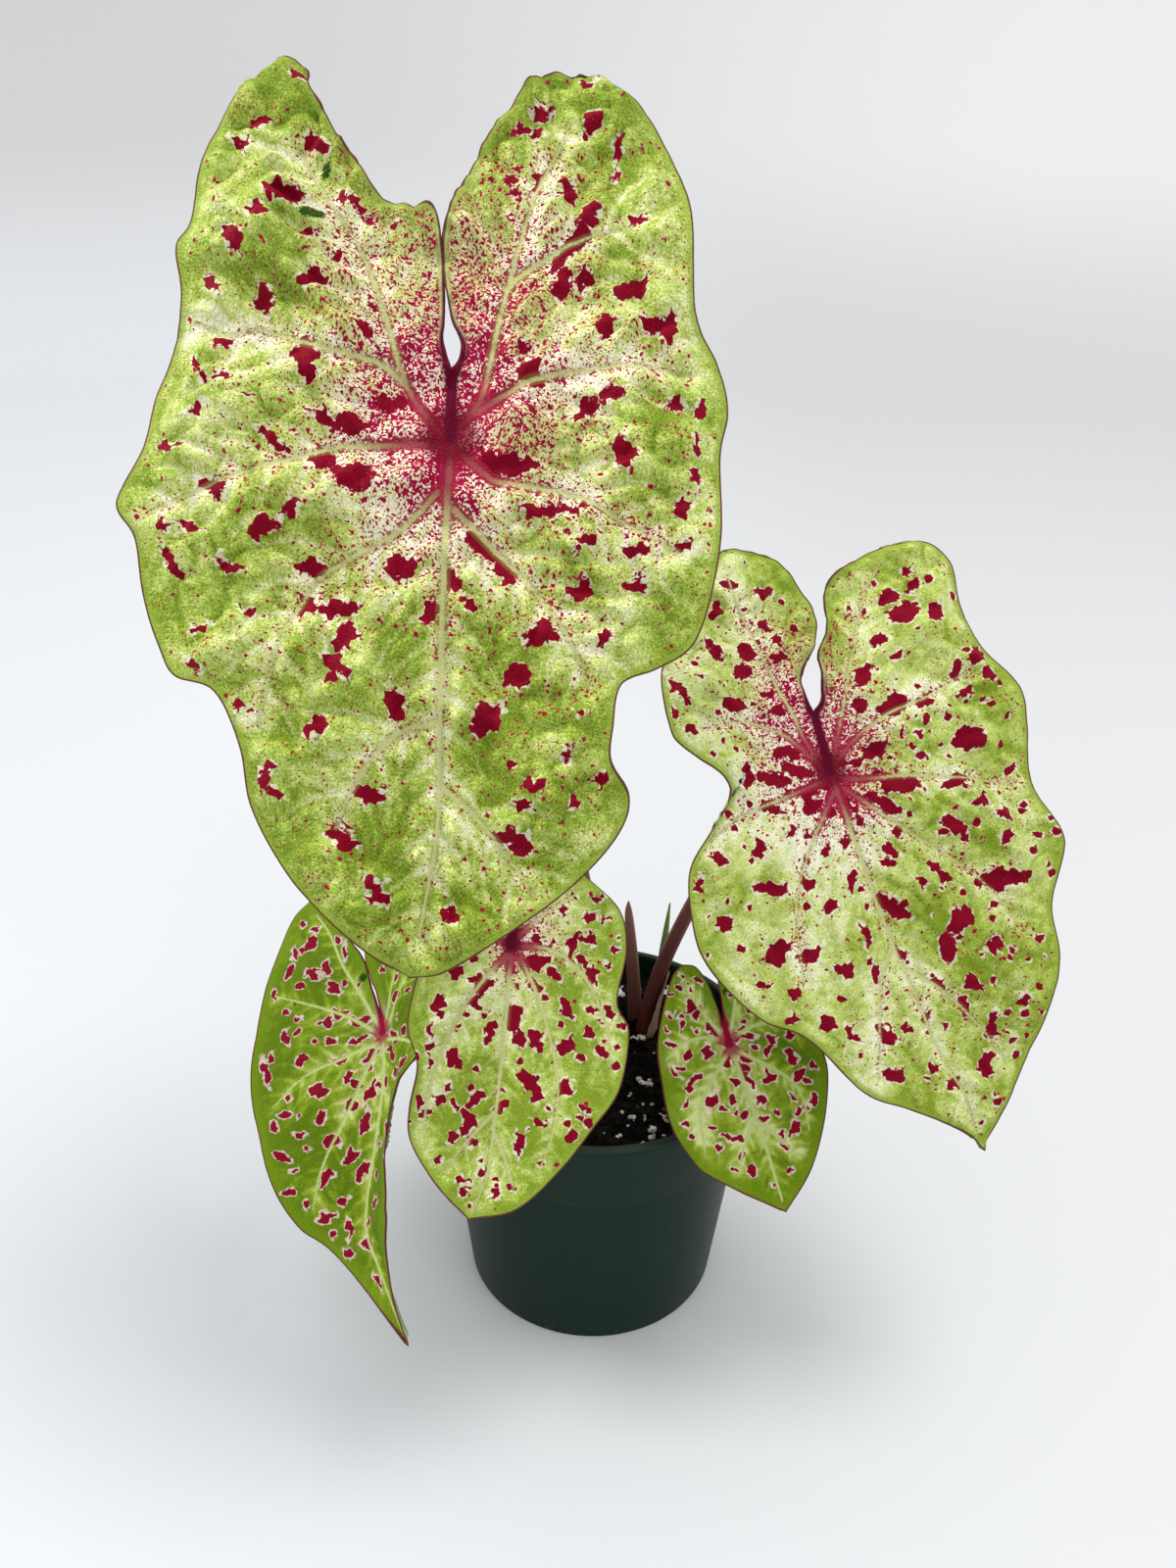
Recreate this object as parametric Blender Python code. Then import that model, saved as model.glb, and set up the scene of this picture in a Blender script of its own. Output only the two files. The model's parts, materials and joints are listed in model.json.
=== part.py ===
"""A potted caladium: five spotted heart-shaped leaves on arching stalks,
two young shoots and a papery sheath, growing from a tuber in a round pot.

Sizes are in millimetres in the tables below and are turned into metres when
a mesh is made. The origin is the middle of the pot's underside, +Z is up and
the front of the plant faces -Y.
"""
import math
from dataclasses import dataclass

import bmesh
import bpy
from mathutils import Vector

MM = 0.001
GAP = 0.3
CUTTER_EASE = 0.05

# Pot
POT_TOP_RADIUS = 54.0
POT_BASE_RADIUS = 43.0
POT_HEIGHT = 92.7
POT_WALL = 1.6
POT_LIP = 1.0
POT_CORNER = 1.2
RIM_BAND_HEIGHT = 25.0
RIM_BAND_STEP = 0.6
POT_FLOOR = 2.5
DRAIN_HOLES = 6
DRAIN_RADIUS = 4.0
DRAIN_CIRCLE = 31.0
DRILL_DEPTH = 12.0
POT_SIDES = 48

# Soil
SOIL_LEVEL = 84.7
SOIL_SIDES = 36
SOIL_RINGS = 7
SOIL_BUMP = 0.9
SOIL_CORNER = 2.0

# Tuber
TUBER_MIDDLE = (14.0, 12.0, 55.0)
TUBER_RADIUS = 19.0
TUBER_HALF_HEIGHT = 12.0
TUBER_SIDES = 18

# Leaves
BLADE_THICKNESS = 0.8
MIDRIB_RIDGE = 1.1
RIDGE_HALF_WIDTH = 1.6
RIDGE_START = 8.0
CALM_RADIUS = 12.0
PLEATS = 7
LOBE_FOLD_FROM = -32.0
LOBE_FOLD_OVER = 20.0
STALK_SIDES = 8
STALK_NECK = 4.5
STALK_BEND = 11.0
STALK_SAG = 4.0
BURIED_STALK = 12.0

TOP_GREEN = (0.42, 0.58, 0.16, 1.0)


def clear_scene():
    """Remove every object, so that the script also runs in an open file."""
    for thing in list(bpy.data.objects):
        bpy.data.objects.remove(thing, do_unlink=True)


def material(name, colour, roughness, metallic=0.0):
    """Make a Principled material with one colour."""
    made = bpy.data.materials.new(name)
    made.use_nodes = True
    shader = made.node_tree.nodes["Principled BSDF"]
    shader.inputs["Base Color"].default_value = colour
    shader.inputs["Roughness"].default_value = roughness
    shader.inputs["Metallic"].default_value = metallic
    made.diffuse_color = colour
    return made


def finish_mesh(bm, name, look, smooth_angle=40.0):
    """Turn a bmesh in millimetres into a named object in metres."""
    bmesh.ops.recalc_face_normals(bm, faces=bm.faces[:])
    bmesh.ops.scale(bm, vec=(MM, MM, MM), verts=bm.verts[:])
    mesh = bpy.data.meshes.new(name)
    bm.to_mesh(mesh)
    bm.free()
    mesh.materials.append(look)
    mesh.shade_smooth()
    mesh.set_sharp_from_angle(angle=math.radians(smooth_angle))
    thing = bpy.data.objects.new(name, mesh)
    bpy.context.scene.collection.objects.link(thing)
    return thing


def as_cutter(thing):
    """Keep an object out of the model, as a Boolean's tool."""
    thing.hide_render = True
    thing.display_type = "WIRE"
    return thing


def cut(target, cutters):
    """Take each cutter's volume out of the target."""
    for cutter in cutters:
        step = target.modifiers.new("cut_" + cutter.name, "BOOLEAN")
        step.operation = "DIFFERENCE"
        step.solver = "EXACT"
        step.object = cutter


def lathe(profile, sides):
    """Spin a profile of (radius, height) points about Z into a closed body."""
    bm = bmesh.new()
    points = [bm.verts.new((radius, 0.0, height)) for radius, height in profile]
    edges = [bm.edges.new(pair) for pair in zip(points, points[1:])]
    if profile[0][0] > 0.0:
        edges.append(bm.edges.new((points[-1], points[0])))
    bmesh.ops.spin(bm, geom=points + edges, cent=(0, 0, 0), axis=(0, 0, 1),
                   angle=2 * math.pi, steps=sides, use_merge=True)
    bmesh.ops.remove_doubles(bm, verts=bm.verts[:], dist=0.001)
    return bm


def smooth_curve(points, per_span=8):
    """Pass a Catmull-Rom curve through the points, as a dense polyline."""
    knots = [Vector(p) for p in points]
    ends = [2 * knots[0] - knots[1]] + knots + [2 * knots[-1] - knots[-2]]
    dense = []
    for before, start, end, after in zip(ends, ends[1:], ends[2:], ends[3:]):
        for step in range(per_span):
            t = step / per_span
            dense.append(0.5 * ((2 * start) + (end - before) * t
                         + (2 * before - 5 * start + 4 * end - after) * t * t
                         + (3 * start - before - 3 * end + after) * t ** 3))
    dense.append(knots[-1])
    return dense


def along(points, fractions):
    """Find the points that lie at the given fractions of a polyline's length."""
    reach = [0.0]
    for start, end in zip(points, points[1:]):
        reach.append(reach[-1] + (end - start).length)
    found = []
    span = 0
    for fraction in fractions:
        wanted = fraction * reach[-1]
        while span < len(points) - 2 and reach[span + 1] < wanted:
            span += 1
        length = reach[span + 1] - reach[span]
        part = (wanted - reach[span]) / length if length > 0.0 else 0.0
        found.append(points[span].lerp(points[span + 1], min(1.0, part)))
    return found


def tube(name, path, radii, look, sides=STALK_SIDES, extra=0.0):
    """Sweep a round section of changing radius along a path, with flat ends."""
    route = [Vector(p) for p in path]
    bm = bmesh.new()
    across = Vector((1.0, 0.0, 0.0))
    rings = []
    for place, radius in zip(range(len(route)), radii):
        ahead = route[min(place + 1, len(route) - 1)] - route[max(place - 1, 0)]
        ahead.normalize()
        across = (across - ahead * across.dot(ahead)).normalized()
        beside = ahead.cross(across)
        ring = []
        for side in range(sides):
            turn = 2 * math.pi * side / sides
            arm = across * math.cos(turn) + beside * math.sin(turn)
            ring.append(bm.verts.new(route[place] + arm * (radius + extra)))
        rings.append(ring)
    for low, high in zip(rings, rings[1:]):
        for side in range(sides):
            nxt = (side + 1) % sides
            bm.faces.new((low[side], low[nxt], high[nxt], high[side]))
    bm.faces.new(rings[0][::-1])
    bm.faces.new(rings[-1])
    return finish_mesh(bm, name, look)


@dataclass(frozen=True)
class Leaf:
    """One leaf: where its stalk joins it, how it faces, and its flat outline.

    Flat points are (across, along) from the joint, with the tip at negative
    along. Each side's outline runs from the tip to the top of its lobe, and
    its slit runs from the bottom of the notch to the same top.
    """

    name: str
    joint: tuple
    facing: float
    lift: float
    turn: float
    midrib: tuple
    slit_left: tuple
    slit_right: tuple
    edge_left: tuple
    edge_right: tuple
    folds: tuple
    cup: float
    tip_droop: float
    lobe_droop: float
    stalk: tuple
    stalk_radii: tuple
    breaks: tuple = (0.50, 0.58)
    rows: tuple = (13, 2, 11)
    columns: int = 7
    soft: float = 6.0
    waves: float = 4.0
    wave_size: float = 2.0
    pleat: float = 0.7

    def axes(self):
        """Give the blade's across, along and outward directions."""
        facing = math.radians(self.facing)
        lift = math.radians(self.lift)
        turn = math.radians(self.turn)
        out = Vector((math.sin(facing) * math.cos(lift),
                      -math.cos(facing) * math.cos(lift), math.sin(lift)))
        down = (Vector((0, 0, -1)) + out * out.z).normalized()
        tipward = down * math.cos(turn) + out.cross(down) * math.sin(turn)
        up = -tipward
        return up.cross(out), up, out

    def crease(self, y):
        """Across position of the midrib at a distance along the blade."""
        for (low_x, low_y), (high_x, high_y) in zip(self.midrib, self.midrib[1:]):
            if y < high_y:
                return low_x + (high_x - low_x) * (y - low_y) / (high_y - low_y)
        return 0.0

    def rise(self, x, y):
        """Height of the blade over its flat plane, from fold, cup and droop."""
        side = x - self.crease(y)
        bent = math.sqrt(side * side + self.soft ** 2) - self.soft
        left, right, right_lobe = self.folds
        lobe = min(1.0, max(0.0, (y - LOBE_FOLD_FROM) / LOBE_FOLD_OVER))
        fold = left if side < 0 else right + (right_lobe - right) * lobe
        droop = self.tip_droop if y < 0 else self.lobe_droop
        return fold * bent - self.cup * side * side - droop * y * y

    def point(self, flat, u, v):
        """Place a flat point in space; u runs to the margin, v to the lobe."""
        x, y = flat.x, flat.y
        swell = self.wave_size * u ** 3 * math.sin(2 * math.pi * self.waves * v)
        calm = min(1.0, math.hypot(x, y) / CALM_RADIUS)
        ends = min(1.0, 8.0 * v, 8.0 * (1.0 - v))
        pleats = self.pleat * ends * 4 * u * (1 - u) * math.cos(2 * math.pi * PLEATS * v)
        height = self.rise(x, y) + (swell - pleats) * calm
        across, up, out = self.axes()
        return Vector(self.joint) + across * x + up * y + out * height

    def rows_of(self, side):
        """Pair the points of the inner and the outer line of one half."""
        slit = self.slit_left if side < 0 else self.slit_right
        edge = self.edge_left if side < 0 else self.edge_right
        tip = edge[0]
        stem = smooth_curve([(x, y, 0) for x, y in (tip,) + self.midrib])
        notch = smooth_curve([(x, y, 0) for x, y in ((0.0, 0.0), slit[0])])
        flank = smooth_curve([(x, y, 0) for x, y in slit])
        rim = smooth_curve([(x, y, 0) for x, y in edge])
        starts = (0.0,) + self.breaks
        ends = self.breaks + (1.0,)
        pairs = []
        for line, count, start, end in zip((stem, notch, flank), self.rows, starts, ends):
            steps = [k / count for k in range(count + 1)]
            inner = along(line, steps)
            outer = along(rim, [start + (end - start) * step for step in steps])
            seam = 1 if pairs else 0
            pairs += list(zip(inner, outer))[seam:]
        return pairs

    def sheet(self):
        """Make the blade's upper face as two ruled halves, joined at the rib."""
        bm = bmesh.new()
        total = sum(self.rows)
        for side in (-1, 1):
            pairs = self.rows_of(side)
            grid = []
            for row, (inner, outer) in enumerate(pairs):
                line = []
                for column in range(self.columns + 1):
                    u = (column / self.columns) ** 0.9
                    flat = inner.lerp(outer, u)
                    line.append(bm.verts.new(self.point(flat, u, row / total)))
                grid.append(line)
            for low, high in zip(grid, grid[1:]):
                for column in range(self.columns):
                    a, b = low[column], low[column + 1]
                    c, d = high[column + 1], high[column]
                    bm.faces.new((a, b, c, d) if side > 0 else (a, d, c, b))
        bmesh.ops.remove_doubles(bm, verts=bm.verts[:], dist=0.02)
        bmesh.ops.triangulate(bm, faces=bm.faces[:])
        return bm

    def blade(self, look):
        """Thicken the sheet, with a ridge under the midrib."""
        bm = self.sheet()
        bm.normal_update()
        _, _, out = self.axes()
        if sum((face.normal for face in bm.faces), Vector()).dot(out) < 0:
            bmesh.ops.reverse_faces(bm, faces=bm.faces[:])
            bm.normal_update()
        number = bm.verts.layers.int.new("number")
        bm.verts.ensure_lookup_table()
        normals = []
        ribs = []
        axis_points = smooth_curve([(x, y, 0) for x, y in (self.edge_left[0],) + self.midrib])
        rib_line = [self.point(p, 0.0, 0.0) for p in axis_points]
        for place, vert in enumerate(bm.verts):
            vert[number] = place
            normals.append(vert.normal.copy())
            near = min((vert.co - p).length for p in rib_line)
            from_joint = (vert.co - Vector(self.joint)).length
            ridged = near < RIDGE_HALF_WIDTH and from_joint > RIDGE_START
            ribs.append(MIDRIB_RIDGE if ridged else 0.0)
        grown = bmesh.ops.extrude_face_region(bm, geom=bm.faces[:], use_keep_orig=True)
        for vert in grown["geom"]:
            if isinstance(vert, bmesh.types.BMVert):
                depth = BLADE_THICKNESS + ribs[vert[number]]
                vert.co -= normals[vert[number]] * depth
        return finish_mesh(bm, self.name, look, 60.0)

    def stalk_route(self):
        """Run the stalk from its socket up to just under the blade."""
        _, _, out = self.axes()
        joint = Vector(self.joint)
        under = BLADE_THICKNESS + 1.5 * GAP
        bend = joint - out * STALK_BEND - Vector((0.0, 0.0, STALK_SAG))
        ends = [bend, joint - out * STALK_NECK, joint - out * under]
        return smooth_curve([Vector(p) for p in self.stalk] + ends, 4)

    def stalk_sizes(self, count):
        """Taper the stalk evenly from its foot to its top."""
        foot, top = self.stalk_radii
        return [foot + (top - foot) * k / (count - 1) for k in range(count)]


LEAVES = (
    Leaf("blade_a", (-40.0, -26.5, 298.0), 2.0, 34.0, -3.0,
         midrib=((2.0, -107.0), (3.0, -93.0), (1.0, -45.0), (0.0, 0.0)),
         slit_left=((-1.0, 17.5), (-3.6, 25.0), (-4.0, 33.0), (-6.5, 54.0), (-10.0, 59.0),
                    (-19.0, 61.0), (-26.0, 67.0), (-41.5, 88.5), (-44.0, 96.0), (-51.5, 98.5)),
         slit_right=((-1.0, 17.5), (1.0, 24.0), (-2.8, 33.0), (-5.2, 54.0), (3.5, 82.5),
                     (9.0, 91.0), (16.0, 99.0), (24.5, 102.0)),
         edge_left=((-1.5, -133.5), (-14.0, -127.0), (-31.5, -112.0), (-42.5, -95.5),
                    (-46.0, -80.0), (-53.0, -67.0), (-63.5, -63.5), (-68.0, -57.0),
                    (-73.0, -44.5), (-75.5, -30.5), (-80.5, -22.0), (-75.5, -7.5),
                    (-74.5, 6.0), (-71.0, 18.0), (-70.0, 32.0), (-72.0, 44.5), (-69.0, 52.0),
                    (-69.0, 70.5), (-62.0, 91.5), (-51.5, 98.5)),
         edge_right=((-1.5, -133.5), (8.0, -131.0), (27.5, -117.0), (40.0, -105.5),
                     (48.0, -94.5), (49.5, -86.0), (44.5, -78.0), (44.5, -70.0), (46.0, -59.0),
                     (55.0, -54.0), (64.0, -46.0), (68.0, -24.5), (67.0, -1.0), (68.5, 11.5),
                     (65.5, 23.5), (59.0, 36.5), (56.5, 62.5), (51.0, 78.0), (43.5, 92.5),
                     (35.0, 100.0), (24.5, 102.0)),
         folds=(0.10, 0.12, 0.12), cup=0.0014, tip_droop=0.0009, lobe_droop=0.0006,
         stalk=((7.0, 20.0, 62.0), (4.0, 22.5, 78.0), (1.0, 24.0, 95.0), (-6.0, 24.0, 140.0),
                (-19.0, 17.0, 200.0), (-32.0, 0.0, 255.0), (-38.0, -13.0, 282.0)),
         stalk_radii=(3.0, 2.0), columns=8, rows=(14, 2, 12), breaks=(0.47, 0.53), soft=8.0,
         waves=4.0, wave_size=2.2, pleat=0.9),
    Leaf("blade_b", (66.0, -9.0, 199.5), 8.0, 38.0, 17.0,
         midrib=((5.0, -100.0), (2.0, -86.0), (-1.0, -45.0), (0.0, 0.0)),
         slit_left=((2.5, 18.5), (2.0, 24.0), (3.5, 30.5), (10.5, 37.5), (13.5, 48.5),
                    (9.5, 65.5), (0.0, 73.5), (-4.0, 74.5)),
         slit_right=((2.5, 18.5), (6.0, 21.5), (10.0, 34.0), (15.0, 40.0), (20.5, 53.0),
                     (32.5, 57.5), (42.0, 58.5)),
         edge_left=((4.5, -117.5), (1.5, -111.0), (-12.0, -99.0), (-23.5, -89.5),
                    (-35.0, -69.0), (-45.0, -60.0), (-53.0, -45.0), (-55.5, -32.0),
                    (-50.5, -14.5), (-40.0, -5.0), (-32.0, 1.5), (-31.0, 8.0), (-39.0, 20.0),
                    (-40.5, 27.5), (-36.0, 44.5), (-26.0, 52.0), (-20.0, 63.0), (-4.0, 74.5)),
         edge_right=((4.5, -117.5), (16.5, -107.0), (27.0, -97.0), (36.0, -87.0),
                     (45.0, -73.0), (49.0, -58.5), (57.0, -45.5), (58.5, -39.0),
                     (56.5, -23.5), (61.0, -8.0), (63.0, 4.5), (58.0, 19.0), (57.5, 33.0),
                     (59.5, 47.0), (54.0, 56.0), (42.0, 58.5)),
         folds=(0.14, 0.14, 0.14), cup=0.0016, tip_droop=0.0010, lobe_droop=0.0010,
         stalk=((16.0, 15.0, 62.0), (16.2, 15.6, 78.0), (17.5, 17.0, 93.0), (24.0, 19.5, 116.0),
                (37.0, 19.0, 148.0), (55.0, 10.0, 180.0)),
         stalk_radii=(2.8, 1.9), columns=7, rows=(12, 2, 10), breaks=(0.45, 0.52),
         waves=4.5, wave_size=1.6, pleat=0.6),
    Leaf("blade_c", (-67.0, -23.0, 111.0), -55.0, 35.0, 53.5,
         midrib=((-10.0, -84.0), (-13.5, -71.0), (-17.0, -58.5), (-15.5, -49.0),
                 (-7.5, -30.5), (-1.5, -14.0), (0.0, 0.0)),
         slit_left=((0.0, 4.0), (-2.6, 14.0), (-6.0, 28.5), (-14.5, 43.0), (-23.5, 57.0)),
         slit_right=((0.0, 4.0), (-1.8, 14.0), (-5.2, 28.5), (-2.0, 40.0), (8.0, 47.0),
                     (20.0, 49.0)),
         edge_left=((-7.5, -92.0), (-14.5, -80.5), (-20.0, -72.5), (-31.5, -58.0),
                    (-38.5, -50.0), (-43.0, -35.5), (-46.5, -12.0), (-45.5, 0.5),
                    (-42.0, 13.5), (-38.5, 33.5), (-32.0, 51.0), (-23.5, 57.0)),
         edge_right=((-7.5, -92.0), (-8.5, -82.0), (-7.5, -74.0), (-4.0, -66.0), (6.0, -59.0),
                     (18.0, -48.0), (31.0, -34.0), (39.0, -18.0), (41.5, -3.0), (40.0, 12.0),
                     (35.0, 32.0), (29.0, 45.0), (20.0, 49.0)),
         folds=(0.45, 0.74, 0.40), cup=0.0010, tip_droop=0.0008, lobe_droop=0.0008,
         stalk=((4.0, 6.0, 61.0), (1.0, 2.5, 75.0), (-4.0, -2.0, 90.0), (-16.0, -8.0, 103.0),
                (-36.0, -14.0, 110.0)),
         stalk_radii=(2.4, 1.7), columns=6, rows=(10, 2, 8), breaks=(0.46, 0.54), soft=4.0,
         waves=3.0, wave_size=1.2, pleat=0.4),
    Leaf("blade_d", (-24.5, -47.0, 161.5), 14.0, 38.0, -15.5,
         midrib=((3.0, -68.0), (4.0, -60.0), (2.0, -24.0), (0.0, 0.0)),
         slit_left=((-0.5, 5.0), (-3.0, 10.0), (-7.0, 15.0), (-12.5, 17.5)),
         slit_right=((-0.5, 5.0), (3.0, 12.0), (8.0, 18.0), (17.5, 23.0)),
         edge_left=((1.0, -75.5), (-9.5, -67.5), (-18.5, -57.0), (-20.5, -48.0),
                    (-20.5, -36.5), (-25.0, -26.0), (-24.5, -10.0), (-24.0, 1.0),
                    (-20.0, 12.0), (-12.5, 17.5)),
         edge_right=((1.0, -75.5), (13.5, -71.0), (24.0, -59.0), (31.0, -46.0), (36.5, -34.5),
                     (37.0, -19.0), (32.0, -11.0), (32.5, 4.0), (29.0, 15.0), (17.5, 23.0)),
         folds=(0.16, 0.16, 0.16), cup=0.0030, tip_droop=0.0014, lobe_droop=0.0010,
         stalk=((9.0, 10.0, 62.0), (7.0, 9.0, 75.0), (4.0, 8.0, 90.0), (-4.0, 2.0, 118.0),
                (-15.0, -18.0, 145.0)),
         stalk_radii=(2.4, 1.7), columns=6, rows=(10, 2, 7), breaks=(0.52, 0.62), soft=4.0,
         waves=3.0, wave_size=1.2, pleat=0.4),
    Leaf("blade_e", (40.0, -37.0, 121.0), 8.0, 45.0, 13.5,
         midrib=((1.0, -42.0), (1.0, -30.0), (0.0, 0.0)),
         slit_left=((0.5, 6.0), (0.3, 13.0), (0.0, 18.5), (-2.0, 25.0), (-6.0, 27.0)),
         slit_right=((0.5, 6.0), (2.0, 13.0), (3.5, 20.0), (8.0, 24.0)),
         edge_left=((1.0, -51.0), (-10.0, -42.0), (-18.0, -34.5), (-21.0, -30.0),
                    (-24.5, -18.0), (-23.5, -4.5), (-20.5, 7.5), (-11.0, 23.0), (-6.0, 27.0)),
         edge_right=((1.0, -51.0), (11.5, -42.0), (20.0, -30.5), (25.0, -20.0), (26.5, -12.5),
                     (25.0, -2.0), (22.0, 8.0), (18.0, 16.5), (8.0, 24.0)),
         folds=(0.14, 0.14, 0.14), cup=0.0035, tip_droop=0.0018, lobe_droop=0.0020,
         stalk=((23.0, 6.0, 61.0), (27.0, 2.0, 75.0), (32.0, -3.5, 90.0), (36.0, -11.0, 106.0)),
         stalk_radii=(2.0, 1.4), columns=5, rows=(8, 2, 6), breaks=(0.50, 0.60), soft=4.0,
         waves=2.0, wave_size=0.9, pleat=0.3),
)

# Young shoots: route of the middle line, with the radius at each point
BROWN_SHOOT = (((14.0, 22.5, 63.0), 1.9), ((13.6, 23.5, 80.0), 1.9), ((12.6, 24.0, 100.0), 1.6),
               ((11.0, 23.5, 118.0), 1.0), ((9.8, 22.6, 132.0), 0.35))
GREEN_SHOOT = (((20.0, 21.0, 63.0), 1.5), ((20.3, 23.5, 80.0), 1.5), ((21.4, 27.0, 98.0), 1.6),
               ((23.0, 30.0, 115.0), 1.1), ((24.0, 31.0, 127.0), 0.35))

# Sheath: a papery half sleeve round the foot of the tall front stalk
SHEATH_AXIS = ((16.4, 15.8, 72.0), (17.0, 16.4, 86.0), (18.6, 17.6, 97.0), (21.0, 18.6, 107.0))
SHEATH_RADIUS = 3.7
SHEATH_WALL = 0.7
SHEATH_ARC = (-100.0, 60.0)
SHEATH_TURN = 20.0
SHEATH_FLARE = 0.8
SHEATH_COLUMNS = 8
SHEATH_NARROWS_FROM = 0.35
SHEATH_TOP_SHARE = 0.25


def pot(look):
    """Turn the pot's wall, rim band, lip and floor, with drain holes."""
    band = POT_HEIGHT - RIM_BAND_HEIGHT
    slope = (POT_TOP_RADIUS - POT_BASE_RADIUS) / POT_HEIGHT

    def outer(height):
        return POT_BASE_RADIUS + slope * height

    profile = [
        (0.0, 0.0),
        (POT_BASE_RADIUS - POT_CORNER, 0.0),
        (POT_BASE_RADIUS, POT_CORNER),
        (outer(band) - RIM_BAND_STEP, band - 0.8),
        (outer(band), band),
        (outer(POT_HEIGHT - 3.0) - 0.4, POT_HEIGHT - 3.0),
        (POT_TOP_RADIUS, POT_HEIGHT - 2.4),
        (POT_TOP_RADIUS, POT_HEIGHT - 0.5),
        (POT_TOP_RADIUS - 0.5, POT_HEIGHT),
        (POT_TOP_RADIUS - POT_WALL - POT_LIP + 0.4, POT_HEIGHT),
        (POT_TOP_RADIUS - POT_WALL - POT_LIP, POT_HEIGHT - 0.6),
        (outer(POT_FLOOR) - POT_WALL - POT_LIP, POT_FLOOR + 2.0),
        (outer(POT_FLOOR) - POT_WALL - POT_LIP - 2.0, POT_FLOOR),
        (0.0, POT_FLOOR),
    ]
    thing = finish_mesh(lathe(profile, POT_SIDES), "pot", look)
    drills = []
    for hole in range(DRAIN_HOLES):
        turn = 2 * math.pi * (hole + 0.5) / DRAIN_HOLES
        bm = bmesh.new()
        bmesh.ops.create_cone(bm, cap_ends=True, segments=12, radius1=DRAIN_RADIUS,
                              radius2=DRAIN_RADIUS, depth=DRILL_DEPTH)
        middle = (DRAIN_CIRCLE * math.cos(turn), DRAIN_CIRCLE * math.sin(turn), POT_FLOOR)
        bmesh.ops.translate(bm, vec=middle, verts=bm.verts[:])
        drills.append(as_cutter(finish_mesh(bm, "drill_%d" % hole, look)))
    cut(thing, drills)
    return thing


def soil_height(x, y):
    """Uneven height of the soil at a place."""
    waves = math.sin(0.37 * x + 1.3) * math.cos(0.31 * y - 0.7)
    crumbs = 0.6 * math.sin(0.83 * x - 0.5 * y) + 0.5 * math.cos(0.71 * y + 0.29 * x + 2.0)
    return SOIL_LEVEL + SOIL_BUMP * (waves + crumbs)


def soil(look):
    """Fill the pot with soil whose top is uneven."""
    slope = (POT_TOP_RADIUS - POT_BASE_RADIUS) / POT_HEIGHT

    def reach(height):
        return POT_BASE_RADIUS + slope * height - POT_WALL - POT_LIP - 1.5 * GAP

    top = reach(SOIL_LEVEL)
    rings = [(top * ring / SOIL_RINGS, SOIL_LEVEL) for ring in range(SOIL_RINGS + 1)]
    profile = rings + [
        (reach(SOIL_LEVEL - 30.0), SOIL_LEVEL - 30.0),
        (reach(POT_FLOOR), POT_FLOOR + SOIL_CORNER + GAP),
        (reach(POT_FLOOR) - SOIL_CORNER, POT_FLOOR + GAP),
        (0.0, POT_FLOOR + GAP),
    ]
    bm = lathe(profile, SOIL_SIDES)
    for vert in bm.verts:
        if vert.co.z > SOIL_LEVEL - 1.0:
            vert.co.z = soil_height(vert.co.x, vert.co.y)
    return finish_mesh(bm, "soil", look)


def tuber_body(name, look, extra=0.0):
    """A flattened lumpy tuber."""
    bm = bmesh.new()
    bmesh.ops.create_uvsphere(bm, u_segments=TUBER_SIDES, v_segments=8, radius=1.0)
    for vert in bm.verts:
        turn = math.atan2(vert.co.y, vert.co.x)
        lump = 1.0 + 0.07 * math.sin(3 * turn + 0.5) * (1 - vert.co.z ** 2)
        wide = (TUBER_RADIUS + extra) * lump
        vert.co = Vector((vert.co.x * wide, vert.co.y * wide,
                          vert.co.z * (TUBER_HALF_HEIGHT + extra)))
    bmesh.ops.translate(bm, vec=TUBER_MIDDLE, verts=bm.verts[:])
    return finish_mesh(bm, name, look)


def shoot(name, stations, look, extra=0.0, longer=0.0):
    """Sweep a pointed shoot along its stations."""
    route = smooth_curve([Vector(place) for place, _ in stations], 3)
    route[0] = route[0] - Vector((0.0, 0.0, longer))
    sizes = smooth_curve([(radius, 0.0, 0.0) for _, radius in stations], 3)
    return tube(name, route, [size.x for size in sizes], look, 8, extra)


def sheath(name, look, extra=0.0):
    """Half sleeve that widens to a slanted, pointed top."""
    axis = smooth_curve(SHEATH_AXIS, 3)
    first, last = (math.radians(a) for a in SHEATH_ARC)
    centre = 0.5 * (first + last) + math.radians(SHEATH_TURN)
    bm = bmesh.new()
    layers = []
    for radius in (SHEATH_RADIUS - extra, SHEATH_RADIUS + SHEATH_WALL + extra):
        rows = []
        for row, middle in enumerate(axis):
            share = row / (len(axis) - 1)
            past = max(0.0, share - SHEATH_NARROWS_FROM) / (1.0 - SHEATH_NARROWS_FROM)
            narrow = 1.0 - (1.0 - SHEATH_TOP_SHARE) * past
            half = 0.5 * (last - first) * narrow + extra / radius
            line = []
            for column in range(SHEATH_COLUMNS + 1):
                turn = centre + half * (2 * column / SHEATH_COLUMNS - 1)
                flare = radius + SHEATH_FLARE * share
                arm = Vector((math.cos(turn), math.sin(turn), 0.0)) * flare
                line.append(bm.verts.new(middle + arm))
            rows.append(line)
        layers.append(rows)
    inner, outer = layers
    for row in range(len(axis) - 1):
        for column in range(SHEATH_COLUMNS):
            for rows, flip in ((inner, True), (outer, False)):
                quad = (rows[row][column], rows[row][column + 1],
                        rows[row + 1][column + 1], rows[row + 1][column])
                bm.faces.new(quad[::-1] if flip else quad)
        for column in (0, SHEATH_COLUMNS):
            bm.faces.new((inner[row][column], outer[row][column],
                          outer[row + 1][column], inner[row + 1][column]))
    for row in (0, len(axis) - 1):
        for column in range(SHEATH_COLUMNS):
            bm.faces.new((inner[row][column], inner[row][column + 1],
                          outer[row][column + 1], outer[row][column]))
    return finish_mesh(bm, name, look)


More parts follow.
